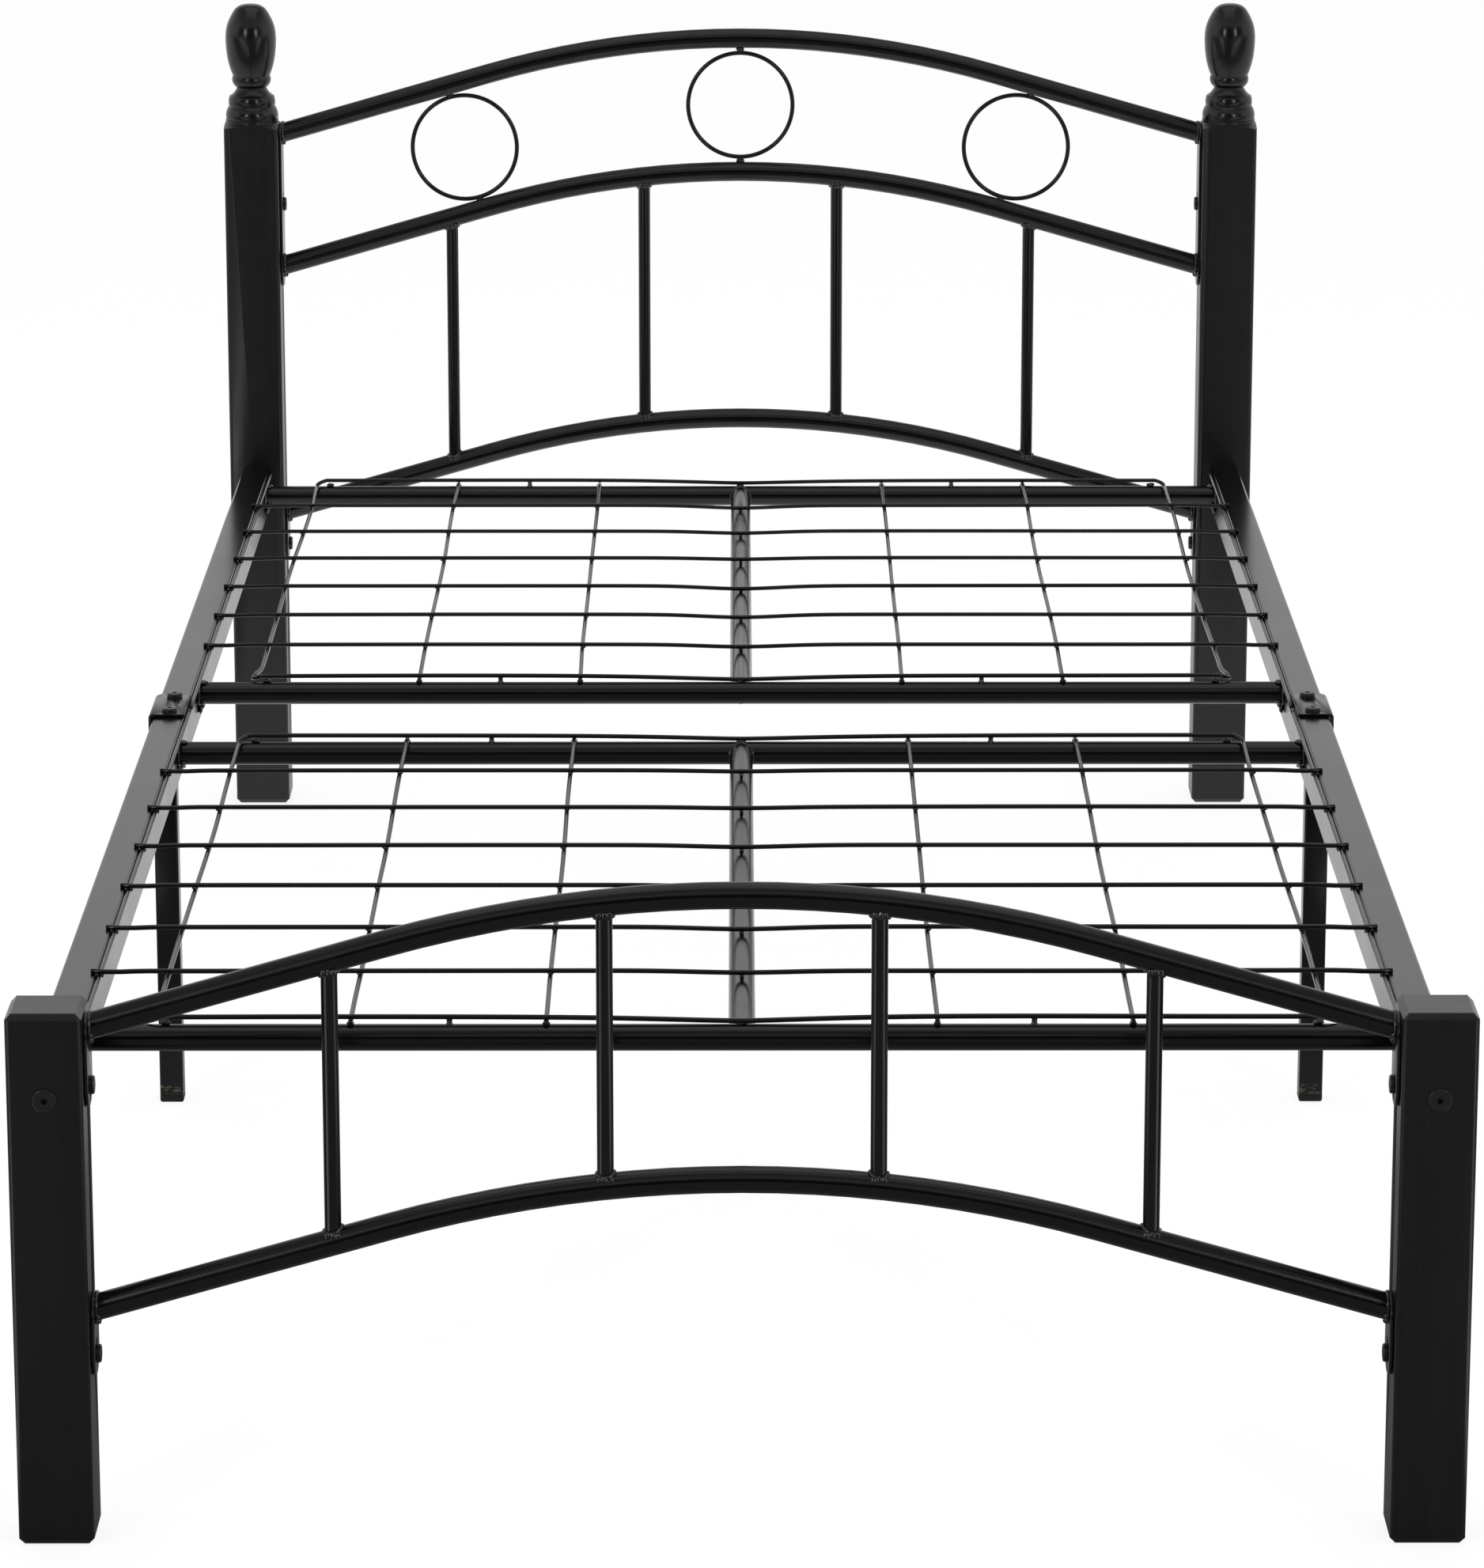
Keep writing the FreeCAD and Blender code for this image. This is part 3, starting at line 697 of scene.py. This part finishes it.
@dataclass
class TimberPosts:
    """The four square posts, and the turned finials of the headboard."""

    finishes: Finishes
    eased_edge: float = 0.0009

    def build(self) -> None:
        """Dress the posts, finials and dowels."""
        for end in BedEnd:
            for side in Side:
                soften(f"post_{end.value}_{side.value}", self.finishes.timber,
                       self.eased_edge, least=25.0, most=70.0, segments=3)
        for side in Side:
            dress(f"finial_{side.value}", self.finishes.turned)
        dress("finial_dowels", self.finishes.beech)


@dataclass
class ArchLine:
    """The middle line of an arched tube: a round crown that runs out into straight ends."""

    node: str
    crown_radius: float = 0.845
    end_slope: float = math.radians(16.0)
    tube_radius: float = 0.009
    crown: float = field(init=False)
    y: float = field(init=False)
    reach: float = field(init=False)

    def __post_init__(self) -> None:
        """Read the arch's place from its node."""
        low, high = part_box(self.node)
        self.crown = high.z - self.tube_radius
        self.y = (low.y + high.y) / 2.0
        self.reach = high.x

    def height(self, x: float) -> float:
        """The middle line's height at a distance from the bed's middle."""
        tangent = self.crown_radius * math.sin(self.end_slope)
        if abs(x) <= tangent:
            return self.crown - self.crown_radius + math.sqrt(self.crown_radius ** 2 - x ** 2)
        fall = self.crown_radius * (1.0 - math.cos(self.end_slope))
        return self.crown - fall - (abs(x) - tangent) * math.tan(self.end_slope)


@dataclass
class EndPanel:
    """A headboard or footboard: arched tubes, spindles, rings, end plates and their welds."""

    finishes: Finishes
    end: BedEnd
    arches: Sequence[str]
    spindled: tuple[str, str]
    rings: Sequence[str] = ()
    spindles: int = 4
    spindle_radius: float = 0.0055
    bead_radius: float = 0.0015
    plate_edge: float = 0.0005

    def build(self) -> None:
        """Dress the panel and weld it up."""
        board = self.end.value + "board"
        for name in [*self.arches, *self.rings]:
            dress(f"{board}_{name}", self.finishes.panel)
        for k in range(self.spindles):
            dress(f"{board}_spindle_{k + 1}", self.finishes.panel)
        for level in ("upper", "lower"):
            for side in Side:
                soften(f"{board}_plate_{level}_{side.value}", self.finishes.panel,
                       self.plate_edge)
        self._weld(board)

    def _weld(self, board: str) -> None:
        """Lay the beads at the tube ends, the spindles and the rings."""
        forge = Forge()
        for name in self.arches:
            arch = ArchLine(f"{board}_{name}")
            for side in Side:
                self._end_bead(forge, arch, side)
        upper, lower = [ArchLine(f"{board}_{name}") for name in self.spindled]
        for k in range(self.spindles):
            x = middle(f"{board}_spindle_{k + 1}").x
            self._saddle_bead(forge, lower, x, 1)
            self._saddle_bead(forge, upper, x, -1)
        for name in self.rings:
            low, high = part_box(f"{board}_{name}")
            self._ring_nubs(forge, (low + high) / 2.0, upper)
        forge.finish(f"{board}_welds", self.finishes.weld)

    def _end_bead(self, forge: Forge, arch: ArchLine, side: Side) -> None:
        """A bead round a tube where it meets its end plate.

        Args:
            forge: The mesh to add to.
            arch: The tube.
            side: The side of the bed.
        """
        x = side.sign * (arch.reach - 0.0007)
        z = arch.height(arch.reach)
        out = arch.tube_radius + 0.0003
        path = []
        for turn in turns(44):
            up = out * math.sin(turn) / math.cos(arch.end_slope)
            path.append(Vector((x, arch.y + out * math.cos(turn), z + up)))
        forge.bead(path, self.bead_radius, x * 40.0 + z * 9.0)
        for k, turn in enumerate((3.6, 4.3, 5.3)):
            at = Vector((x - side.sign * 0.0008, arch.y + out * math.cos(turn), z + out * math.sin(turn)))
            forge.lump(at, DROPS.tube_end, x * 11.0 + z * 23.0 + k * 3.1)

    def _saddle_bead(self, forge: Forge, arch: ArchLine, x: float, up: int) -> None:
        """A bead round a spindle where it meets an arched tube.

        Args:
            forge: The mesh to add to.
            arch: The tube that the spindle meets.
            x: The spindle's place across the bed.
            up: 1 where the spindle stands on the tube, and -1 where it hangs from it.
        """
        out = self.spindle_radius + 0.0004
        path = []
        for turn in turns(32):
            across, along = out * math.cos(turn), out * math.sin(turn)
            rise = math.sqrt(arch.tube_radius ** 2 - along ** 2)
            z = arch.height(x + across) + up * (rise + 0.0004)
            path.append(Vector((x + across, arch.y + along, z)))
        forge.bead(path, self.bead_radius, x * 31.0 + arch.crown * 7.0)
        for k, (across, face) in enumerate(((-0.0034, -1), (0.0004, -1), (0.0036, -1), (0.0, 1))):
            rise = 0.0058 if up > 0 else 0.0072
            at = Vector((x + across, arch.y + face * 0.0066, arch.height(x) + up * rise))
            forge.lump(at, DROPS.spindle, x * 17.0 + k * 5.3 + up)

    def _ring_nubs(self, forge: Forge, centre: Vector, arch: ArchLine) -> None:
        """Small drops where a wire ring is tacked to the tubes above and below it.

        Args:
            forge: The mesh to add to.
            centre: The ring's middle.
            arch: Either of its tubes, for their slope.
        """
        step = 0.01
        slope = (arch.height(centre.x + step) - arch.height(centre.x - step)) / (2.0 * step)
        way = Vector((-slope, 0.0, 1.0)).normalized()
        for up in (1, -1):
            at = centre + way * (up * (0.0512 if abs(centre.x) > 0.1 else 0.0520))
            forge.lump(at, DROPS.ring, centre.x * 13.0 + up)


@dataclass
class SideRails:
    """The rail halves, the brackets over their joints, the middle legs and every fastener."""

    finishes: Finishes
    sheet_edge: float = 0.0004
    bead_radius: float = 0.0014

    def build(self) -> None:
        """Dress the rails, brackets, legs and fasteners."""
        for side in Side:
            for end in BedEnd:
                dress(f"rail_{end.value}_{side.value}", self.finishes.rail)
            soften(f"joint_bracket_{side.value}", self.finishes.rail, self.sheet_edge)
            soften(f"middle_leg_{side.value}", self.finishes.leg, self.sheet_edge, least=50.0)
        dress("leg_plates", self.finishes.rail)
        dress("leg_caps", self.finishes.plastic)
        for name in ("panel_screws", "post_bolts", "joint_bolts"):
            dress(name, self.finishes.steel)
        for name in ("rail_plugs", "joint_nuts"):
            dress(name, self.finishes.plated)
        self._weld_legs()

    def _weld_legs(self) -> None:
        """Lay the beads round the tops of the middle legs."""
        forge = Forge()
        for side in Side:
            low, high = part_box(f"middle_leg_{side.value}")
            centre = (low + high) / 2.0
            half = (high.x - low.x) / 2.0 - 0.0003
            path = []
            for turn in turns(40):
                reach = half / max(abs(math.cos(turn)), abs(math.sin(turn)))
                reach = min(reach, half * 1.28)
                path.append(Vector((centre.x + reach * math.cos(turn), centre.y + reach * math.sin(turn),
                                    high.z - 0.0005)))
            forge.bead(path, self.bead_radius, centre.x * 9.0)
        forge.finish("middle_leg_welds", self.finishes.weld)


@dataclass
class WireDeck:
    """The cross tubes and centre tubes, and the wire mesh that is welded over them."""

    finishes: Finishes
    wire_radius: float = 0.00175
    tube_radius: float = 0.009
    long_wires_each_side: int = 3
    edge_margin: float = 0.049
    cross_wires: int = 6
    cross_lap: float = 0.0042
    splay: float = 0.005
    corner: float = 0.008
    peg_x: float = 0.195
    peg_radius: float = 0.0019
    dice: random.Random = field(default_factory=lambda: random.Random(41))

    def __post_init__(self) -> None:
        """Read the deck's levels from the CAD nodes."""
        low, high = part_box("rail_foot_right")
        self.rail_x = low.x
        self.rail_top = high.z
        self.tube_z = middle("cross_tube_1").z
        self.tube_top = self.tube_z + self.tube_radius
        self.long_z = self.tube_top + self.wire_radius + 0.00005
        self.cross_z = self.long_z + 2.0 * self.wire_radius
        self.long_xs = [sign * k * (self.rail_x - self.edge_margin) / self.long_wires_each_side
                        for sign in (-1, 1) for k in range(1, self.long_wires_each_side + 1)]
        ys = [middle(f"cross_tube_{k}").y for k in range(1, 5)]
        self.spans = {BedEnd.FOOT: (ys[0], ys[1]), BedEnd.HEAD: (ys[2], ys[3])}

    def build(self) -> None:
        """Dress the tubes, bend the wires and weld them together."""
        for k in range(1, 5):
            dress(f"cross_tube_{k}", self.finishes.deck)
        ends = Forge()
        welds = Forge()
        for end in BedEnd:
            dress(f"centre_tube_{end.value}", self.finishes.deck)
            self._long_wires(end)
            self._cross_wires(end, welds)
            for y, way in zip(self.spans[end], (1, -1)):
                self._end_wire(ends, welds, y, way)
                self._tube_welds(welds, y)
            self._centre_welds(welds, end)
        ends.finish("end_wires_bent", self.finishes.deck, ["end_wires"])
        self._border_wires()
        welds.finish("deck_welds", self.finishes.weld)

    def _wander(self, size: float) -> Callable[[float], float]:
        """A slow, small wave for a hand-straightened wire.

        Args:
            size: Its greatest offset, in metres.

        Returns:
            The offset at a place along the wire.
        """
        start = self.dice.uniform(0.0, 50.0)

        def offset(place: float) -> float:
            """The offset at one place."""
            return size * noise.noise(Vector((place * 3.2 + start, start, 0.0)))

        return offset

    def _long_wires(self, end: BedEnd) -> None:
        """Bend the wires along one panel, the outermost splayed at their ends.

        Args:
            end: The panel's end of the bed.
        """
        forge = Forge()
        near, far = self.spans[end]
        lap = self.tube_radius * 0.5
        steps = 56
        for x in self.long_xs:
            outer = abs(x) > self.rail_x - self.edge_margin - 0.001
            over = -self.corner if outer else lap
            sway = self._wander(0.0032 if outer else 0.0022)
            path = []
            for k in range(steps + 1):
                y = near - over + (far - near + 2.0 * over) * k / steps
                to_tube = min(y - near, far - y)
                held = smooth_step(to_tube / 0.12)
                splay = (1.0 - smooth_step((y - near - 0.012) / 0.030)) * (self.splay if outer else 0.0)
                fall = (1.0 - smooth_step((to_tube + 0.005) / 0.020)) * 0.0003
                path.append(Vector((x + sway(y) * held + math.copysign(splay, x), y, self.long_z - fall)))
            forge.wire(path, self.wire_radius)
        node = f"long_wires_{end.value}"
        forge.finish(node + "_bent", self.finishes.deck, [node])

    def _cross_wires(self, end: BedEnd, welds: Forge) -> None:
        """Bend the wires across one panel and tack them to the wires and rails.

        Args:
            end: The panel's end of the bed.
            welds: The mesh that takes the weld metal.
        """
        forge = Forge()
        near, far = self.spans[end]
        reach = self.rail_x + self.cross_lap
        steps = 88
        for row in range(1, self.cross_wires + 1):
            y = near + (far - near) * row / (self.cross_wires + 1)
            sway = self._wander(0.0026)
            dip = self.dice.uniform(0.0006, 0.0026)
            path = []
            for k in range(steps + 1):
                x = -reach + 2.0 * reach * k / steps
                out = abs(x)
                sag = dip * math.exp(-(x / 0.045) ** 2)
                edge = smooth_step((out - 0.405) / 0.028) * (1.0 - smooth_step((out - 0.433) / 0.006))
                free = smooth_step((self.rail_x - out) / 0.06)
                path.append(Vector((x, y + sway(x) * free * 0.55, self.cross_z - sag - 0.0008 * edge)))
            forge.wire(path, self.wire_radius)
            self._tack_row(welds, y, dip)
        node = f"cross_wires_{end.value}"
        forge.finish(node + "_bent", self.finishes.deck, [node])

    def _tack_row(self, welds: Forge, y: float, dip: float) -> None:
        """Drop weld metal where one cross wire meets the long wires, the centre tube and the rails.

        Args:
            welds: The mesh that takes it.
            y: The wire's place along the bed.
            dip: How far the wire sags over the centre tube.
        """
        r = self.wire_radius
        for x in self.long_xs:
            seed = x * 19.0 + y * 37.0
            welds.lump(Vector((x, y, self.long_z + r)), (r * 1.25, r * 1.25, r * 0.8), seed)
        gap = self.cross_z - dip - r - self.tube_top
        size = (0.0018, 0.0013, gap / 2.0 + 0.0005)
        welds.lump(Vector((0.0, y, self.tube_top + gap / 2.0)), size, y * 51.0)
        for side in Side:
            seed = side.sign * 3.0 + y * 29.0
            edge = side.sign * self.rail_x
            welds.lump(Vector((edge - side.sign * 0.0022, y, self.cross_z - 0.0032)),
                       DROPS.wire_tip, seed)
            welds.lump(Vector((edge - side.sign * 0.0012, y + 0.0008, self.cross_z - 0.0058)),
                       DROPS.wire_drip, seed + 4.0)

    def _end_wire(self, forge: Forge, welds: Forge, y: float, way: int) -> None:
        """Bend one wire over a cross tube, and round its corners into the outer long wires.

        Args:
            forge: The mesh that takes the wire.
            welds: The mesh that takes the pegs and weld metal.
            y: The tube's place along the bed.
            way: The direction from the tube to the panel's middle.
        """
        r = self.wire_radius
        outer = self.rail_x - self.edge_margin + (self.splay if way > 0 else 0.0)
        dip = self.dice.uniform(0.0024, 0.0032)
        lift = self._wander(0.0009)
        straight = outer - self.corner
        fall = self.cross_z - self.long_z
        steps = 92
        bend = []
        for k in range(9):
            turn = math.pi / 2.0 * k / 8.0
            bend.append((straight + self.corner * math.cos(turn), self.corner * (1.0 - math.sin(turn)),
                         fall * (1.0 - k / 8.0)))
        path = [Vector((-x, y + way * along, self.cross_z + lift(-x) * 0.3 - drop))
                for x, along, drop in bend[:-1]]
        for k in range(steps + 1):
            x = -straight + 2.0 * straight * k / steps
            sag = dip * math.exp(-(abs(x) / 0.075) ** 1.5)
            path.append(Vector((x, y, self.cross_z + lift(x) - sag)))
        path += [Vector((x, y + way * along, self.cross_z + lift(x) * 0.3 - drop))
                 for x, along, drop in reversed(bend[:-1])]
        forge.wire(path, r)
        for x in (-self.peg_x, self.peg_x):
            top = self.cross_z + lift(x) - r * 0.6
            foot = self.tube_top - 0.0004
            stations = [Vector((x, y, foot + (top - foot) * k / 4.0)) for k in range(5)]
            flare = [1.7, 1.1, 1.0, 1.05, 1.2]
            welds.bar(stations, [self.peg_radius * f for f in flare], 12)
        welds.lump(Vector((0.0, y, self.tube_top + 0.0006)), DROPS.middle_tack, y * 7.0)
        for x in self.long_xs:
            if abs(x) < outer - self.splay - 0.001:
                welds.lump(Vector((x, y, self.tube_top + 0.0009)), DROPS.wire_tack, x * 7.0 + y)
        for side in Side:
            at = Vector((side.sign * (straight - 0.004), y, self.tube_top + 0.0012))
            welds.lump(at, DROPS.corner_tack, y * 5.0 + side.sign)

    def _tube_welds(self, welds: Forge, y: float) -> None:
        """Weld one cross tube to both rails, with a heap on top and a drip beneath.

        Args:
            welds: The mesh that takes the weld metal.
            y: The tube's place along the bed.
        """
        out = self.tube_radius + 0.0002
        for side in Side:
            x = side.sign * (self.rail_x - 0.0009)
            path = [Vector((x, y + out * math.cos(turn), self.tube_z + out * math.sin(turn)))
                    for turn in turns(44)]
            welds.bead(path, 0.0015, y * 13.0 + side.sign)
            seed = y * 23.0 + side.sign * 5.0
            inward = -side.sign
            welds.lump(Vector((x + inward * 0.0022, y - 0.002, self.tube_top + 0.0004)),
                       DROPS.tube_heap, seed)
            welds.lump(Vector((x + inward * 0.0010, y + 0.003, self.tube_z - out - 0.0010)),
                       DROPS.tube_drip, seed + 2.0)
            welds.lump(Vector((x + inward * 0.0008, y, self.tube_z - out - 0.0038)),
                       DROPS.tube_point, seed + 6.0)
            welds.lump(Vector((x + inward * 0.0030, y - out * 0.75, self.tube_z - out * 0.66)),
                       DROPS.tube_side, seed + 9.0)

    def _centre_welds(self, welds: Forge, end: BedEnd) -> None:
        """Weld a centre tube to its cross tubes.

        Args:
            welds: The mesh that takes the weld metal.
            end: The panel's end of the bed.
        """
        out = self.tube_radius + 0.0001
        near, far = self.spans[end]
        for y, way in ((near, 1), (far, -1)):
            path = []
            for turn in turns(40):
                across, up = out * math.cos(turn), out * math.sin(turn) * 0.97
                stand = math.sqrt(max(0.0, self.tube_radius ** 2 - up ** 2)) + 0.0006
                path.append(Vector((across, y + way * stand, self.tube_z + up)))
            welds.bead(path, 0.0013, y * 3.0)

    def _border_wires(self) -> None:
        """Run a wire along the inner top edge of each half rail."""
        forge = Forge()
        low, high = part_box("border_wires")
        x_out = high.x - self.wire_radius
        z = (low.z + high.z) / 2.0
        joint_gap = 0.0035
        for side in Side:
            for start, end in ((low.y, -joint_gap), (joint_gap, high.y)):
                sway = self._wander(0.0008)
                steps = 44
                path = []
                for k in range(steps + 1):
                    y = start + (end - start) * k / steps
                    x = side.sign * (x_out - abs(sway(y)) * 0.5)
                    path.append(Vector((x, y, z + sway(y + 3.0) * 0.5)))
                forge.wire(path, self.wire_radius)
        forge.finish("border_wires_bent", self.finishes.deck, ["border_wires"])


# Studio


@dataclass
class Viewpoint:
    """The camera in front of the footboard, looking down the bed."""

    location: Colour = (-0.00286, -5.06765, 1.56312)
    pitch: float = 0.25120
    yaw: float = 0.0007
    roll: float = 0.0003
    lens: float = 150.41
    sensor: float = 36.0

    def build(self) -> None:
        """Create the camera and make it the scene's."""
        data = bpy.data.cameras.new("bed_camera")
        data.lens = self.lens
        data.sensor_width = self.sensor
        camera = bpy.data.objects.new("bed_camera", data)
        level = math.cos(self.pitch)
        forward = Vector((math.sin(self.yaw) * level, math.cos(self.yaw) * level, -math.sin(self.pitch)))
        right = forward.cross(Vector((0.0, 0.0, 1.0))).normalized()
        up = right.cross(forward)
        turn = Matrix.Rotation(self.roll, 3, forward)
        axes = Matrix((turn @ right, turn @ up, -forward)).transposed().to_4x4()
        camera.matrix_world = Matrix.Translation(Vector(self.location)) @ axes
        bpy.context.scene.collection.objects.link(camera)
        bpy.context.scene.camera = camera


@dataclass
class Softbox:
    """One large, soft lamp, aimed at the bed."""

    name: str
    location: Colour
    aim: Colour
    width: float
    height: float
    power: float

    def build(self) -> None:
        """Create the lamp."""
        data = bpy.data.lights.new(self.name, "AREA")
        data.shape = "RECTANGLE"
        data.size = self.width
        data.size_y = self.height
        data.energy = self.power
        lamp = bpy.data.objects.new(self.name, data)
        lamp.location = self.location
        lamp.rotation_mode = "QUATERNION"
        way = Vector(self.aim) - Vector(self.location)
        lamp.rotation_quaternion = way.to_track_quat("-Z", "Y")
        bpy.context.scene.collection.objects.link(lamp)


@dataclass
class Studio:
    """A pale floor, a white surround that darkens behind the camera, and the lamps."""

    floor_size: float = 60.0
    floor_colour: Colour = (0.30, 0.30, 0.30)
    floor_glow: float = 0.86
    mirrored_floor: float = 0.66
    front_level: float = 0.05
    strip_level: float = 2.2
    softboxes: Sequence[Softbox] = (
        Softbox("left_softbox", (-2.5, -4.4, 1.9), (0.0, 0.0, 0.3), 0.50, 1.6, 24.0),
        Softbox("right_softbox", (2.5, -4.4, 1.9), (0.0, 0.0, 0.3), 0.50, 1.6, 24.0),
        Softbox("overhead_softbox", (0.0, 0.2, 4.2), (0.0, 0.0, 0.0), 3.6, 4.4, 24.0),
    )

    def build(self) -> None:
        """Set up the floor, surround, lamps and display."""
        self._floor()
        self._surround()
        for softbox in self.softboxes:
            softbox.build()
        bpy.context.scene.view_settings.view_transform = "Standard"

    def _floor(self) -> None:
        """Lay the floor."""
        shape = bmesh.new()
        bmesh.ops.create_grid(shape, x_segments=1, y_segments=1, size=self.floor_size / 2.0)
        bmesh.ops.translate(shape, vec=Vector((0.0, 0.0, -0.0004)), verts=shape.verts)
        mesh = bpy.data.meshes.new("studio_floor")
        shape.to_mesh(mesh)
        shape.free()
        mesh.materials.append(self._floor_material())
        floor = bpy.data.objects.new("studio_floor", mesh)
        bpy.context.scene.collection.objects.link(floor)

    def _floor_material(self) -> bpy.types.Material:
        """White paper. Reflections show it dimmer in front of the bed, with a bright strip each side."""
        sheet = ShaderSheet("studio_paper")
        sheet.set(Roughness=1.0, Specular_IOR_Level=0.0)
        sheet.shader.inputs["Base Color"].default_value = (*self.floor_colour, 1.0)
        rays = sheet.add("ShaderNodeLightPath")
        at = sheet.coordinates()
        parts = sheet.add("ShaderNodeSeparateXYZ")
        sheet.join(at, parts.inputs["Vector"])
        reach = sheet.remap(parts.outputs["Y"], -0.2, 0.4, self.front_level, 1.0)
        shifted = sheet.add("ShaderNodeVectorMath", operation="ADD")
        sheet.join(at, shifted.inputs[0])
        shifted.inputs[1].default_value = (0.0, 0.5, 0.0)
        heading = sheet.add("ShaderNodeVectorMath", operation="NORMALIZE")
        sheet.join(shifted.outputs["Vector"], heading.inputs[0])
        turned = sheet.add("ShaderNodeSeparateXYZ")
        sheet.join(heading.outputs["Vector"], turned.inputs["Vector"])
        aside = sheet.combine("ABSOLUTE", turned.outputs["X"], 0.0)
        rise = sheet.remap(aside, 0.60, 0.70, 0.0, 1.0)
        fall = sheet.remap(aside, 0.78, 0.88, 1.0, 0.0)
        wide = sheet.remap(sheet.combine("ABSOLUTE", parts.outputs["X"], 0.0), 0.56, 0.66, 0.0, 1.0)
        ahead = sheet.combine("MULTIPLY", wide, sheet.remap(turned.outputs["Y"], -0.3, -0.1, 1.0, 0.0))
        band = sheet.combine("MULTIPLY", rise, fall)
        strip = sheet.combine("MULTIPLY", band, sheet.combine("MULTIPLY", ahead, self.strip_level))
        mirrored = sheet.combine("MAXIMUM", rays.outputs["Is Glossy Ray"],
                                 rays.outputs["Is Transmission Ray"])
        shown = sheet.combine("MULTIPLY", sheet.combine("MAXIMUM", reach, strip), self.mirrored_floor)
        plain = sheet.combine("MULTIPLY", rays.outputs["Is Camera Ray"], self.floor_glow)
        seen = sheet.combine("MAXIMUM", plain, sheet.combine("MULTIPLY", mirrored, shown))
        sheet.shader.inputs["Emission Color"].default_value = (1.0, 1.0, 1.0, 1.0)
        sheet.join(seen, sheet.shader.inputs["Emission Strength"])
        return sheet.material

    def _surround(self) -> None:
        """Fill the world: white to the eye, and graded by direction for light and reflections."""
        world = bpy.data.worlds.new("studio_surround")
        bpy.context.scene.world = world
        world.use_nodes = True
        tree = world.node_tree
        tree.nodes.clear()

        def node(kind: str, **settings: object) -> bpy.types.Node:
            """Add one node."""
            made = tree.nodes.new(kind)
            for key, value in settings.items():
                setattr(made, key, value)
            return made

        def graded(value: bpy.types.NodeSocket, low: float, high: float, start: float,
                   end: float) -> bpy.types.NodeSocket:
            """A value eased from one range to another."""
            made = node("ShaderNodeMapRange", interpolation_type="SMOOTHSTEP")
            for name, number in zip(RANGE_SOCKETS, (low, high, start, end)):
                made.inputs[name].default_value = number
            tree.links.new(value, made.inputs["Value"])
            return made.outputs["Result"]

        def math_node(operation: str, first: bpy.types.NodeSocket,
                      second: bpy.types.NodeSocket) -> bpy.types.NodeSocket:
            """Two values joined by a math operation."""
            made = node("ShaderNodeMath", operation=operation)
            tree.links.new(first, made.inputs[0])
            tree.links.new(second, made.inputs[1])
            return made.outputs["Value"]

        direction = node("ShaderNodeTexCoord")
        parts = node("ShaderNodeSeparateXYZ")
        tree.links.new(direction.outputs["Generated"], parts.inputs["Vector"])
        height = graded(parts.outputs["Z"], 0.30, 0.80, 1.0, 0.34)
        behind = graded(parts.outputs["Y"], -0.80, -0.35, 1.0, 0.0)
        low_down = graded(parts.outputs["Z"], 0.30, 0.62, 1.0, 0.0)
        dark = math_node("MULTIPLY", behind, low_down)
        kept = graded(dark, 0.0, 1.0, 1.0, 0.02)
        level = math_node("MULTIPLY", height, kept)
        rays = node("ShaderNodeLightPath")
        strength = math_node("MAXIMUM", level, rays.outputs["Is Camera Ray"])
        background = node("ShaderNodeBackground")
        tree.links.new(strength, background.inputs["Strength"])
        output = node("ShaderNodeOutputWorld")
        tree.links.new(background.outputs["Background"], output.inputs["Surface"])


def main() -> None:
    """Build the bed's looks and the studio round it."""
    logging.basicConfig(level=logging.INFO, format="%(name)s: %(message)s")
    finishes = Finishes()
    TimberPosts(finishes).build()
    EndPanel(finishes, BedEnd.FOOT, arches=("upper_arch", "lower_arch"),
             spindled=("upper_arch", "lower_arch")).build()
    EndPanel(finishes, BedEnd.HEAD, arches=("top_arch", "middle_arch", "lower_arch"),
             spindled=("middle_arch", "lower_arch"),
             rings=("ring_left", "ring_centre", "ring_right")).build()
    SideRails(finishes).build()
    WireDeck(finishes).build()
    Studio().build()
    Viewpoint().build()


if __name__ == "__main__":
    main()
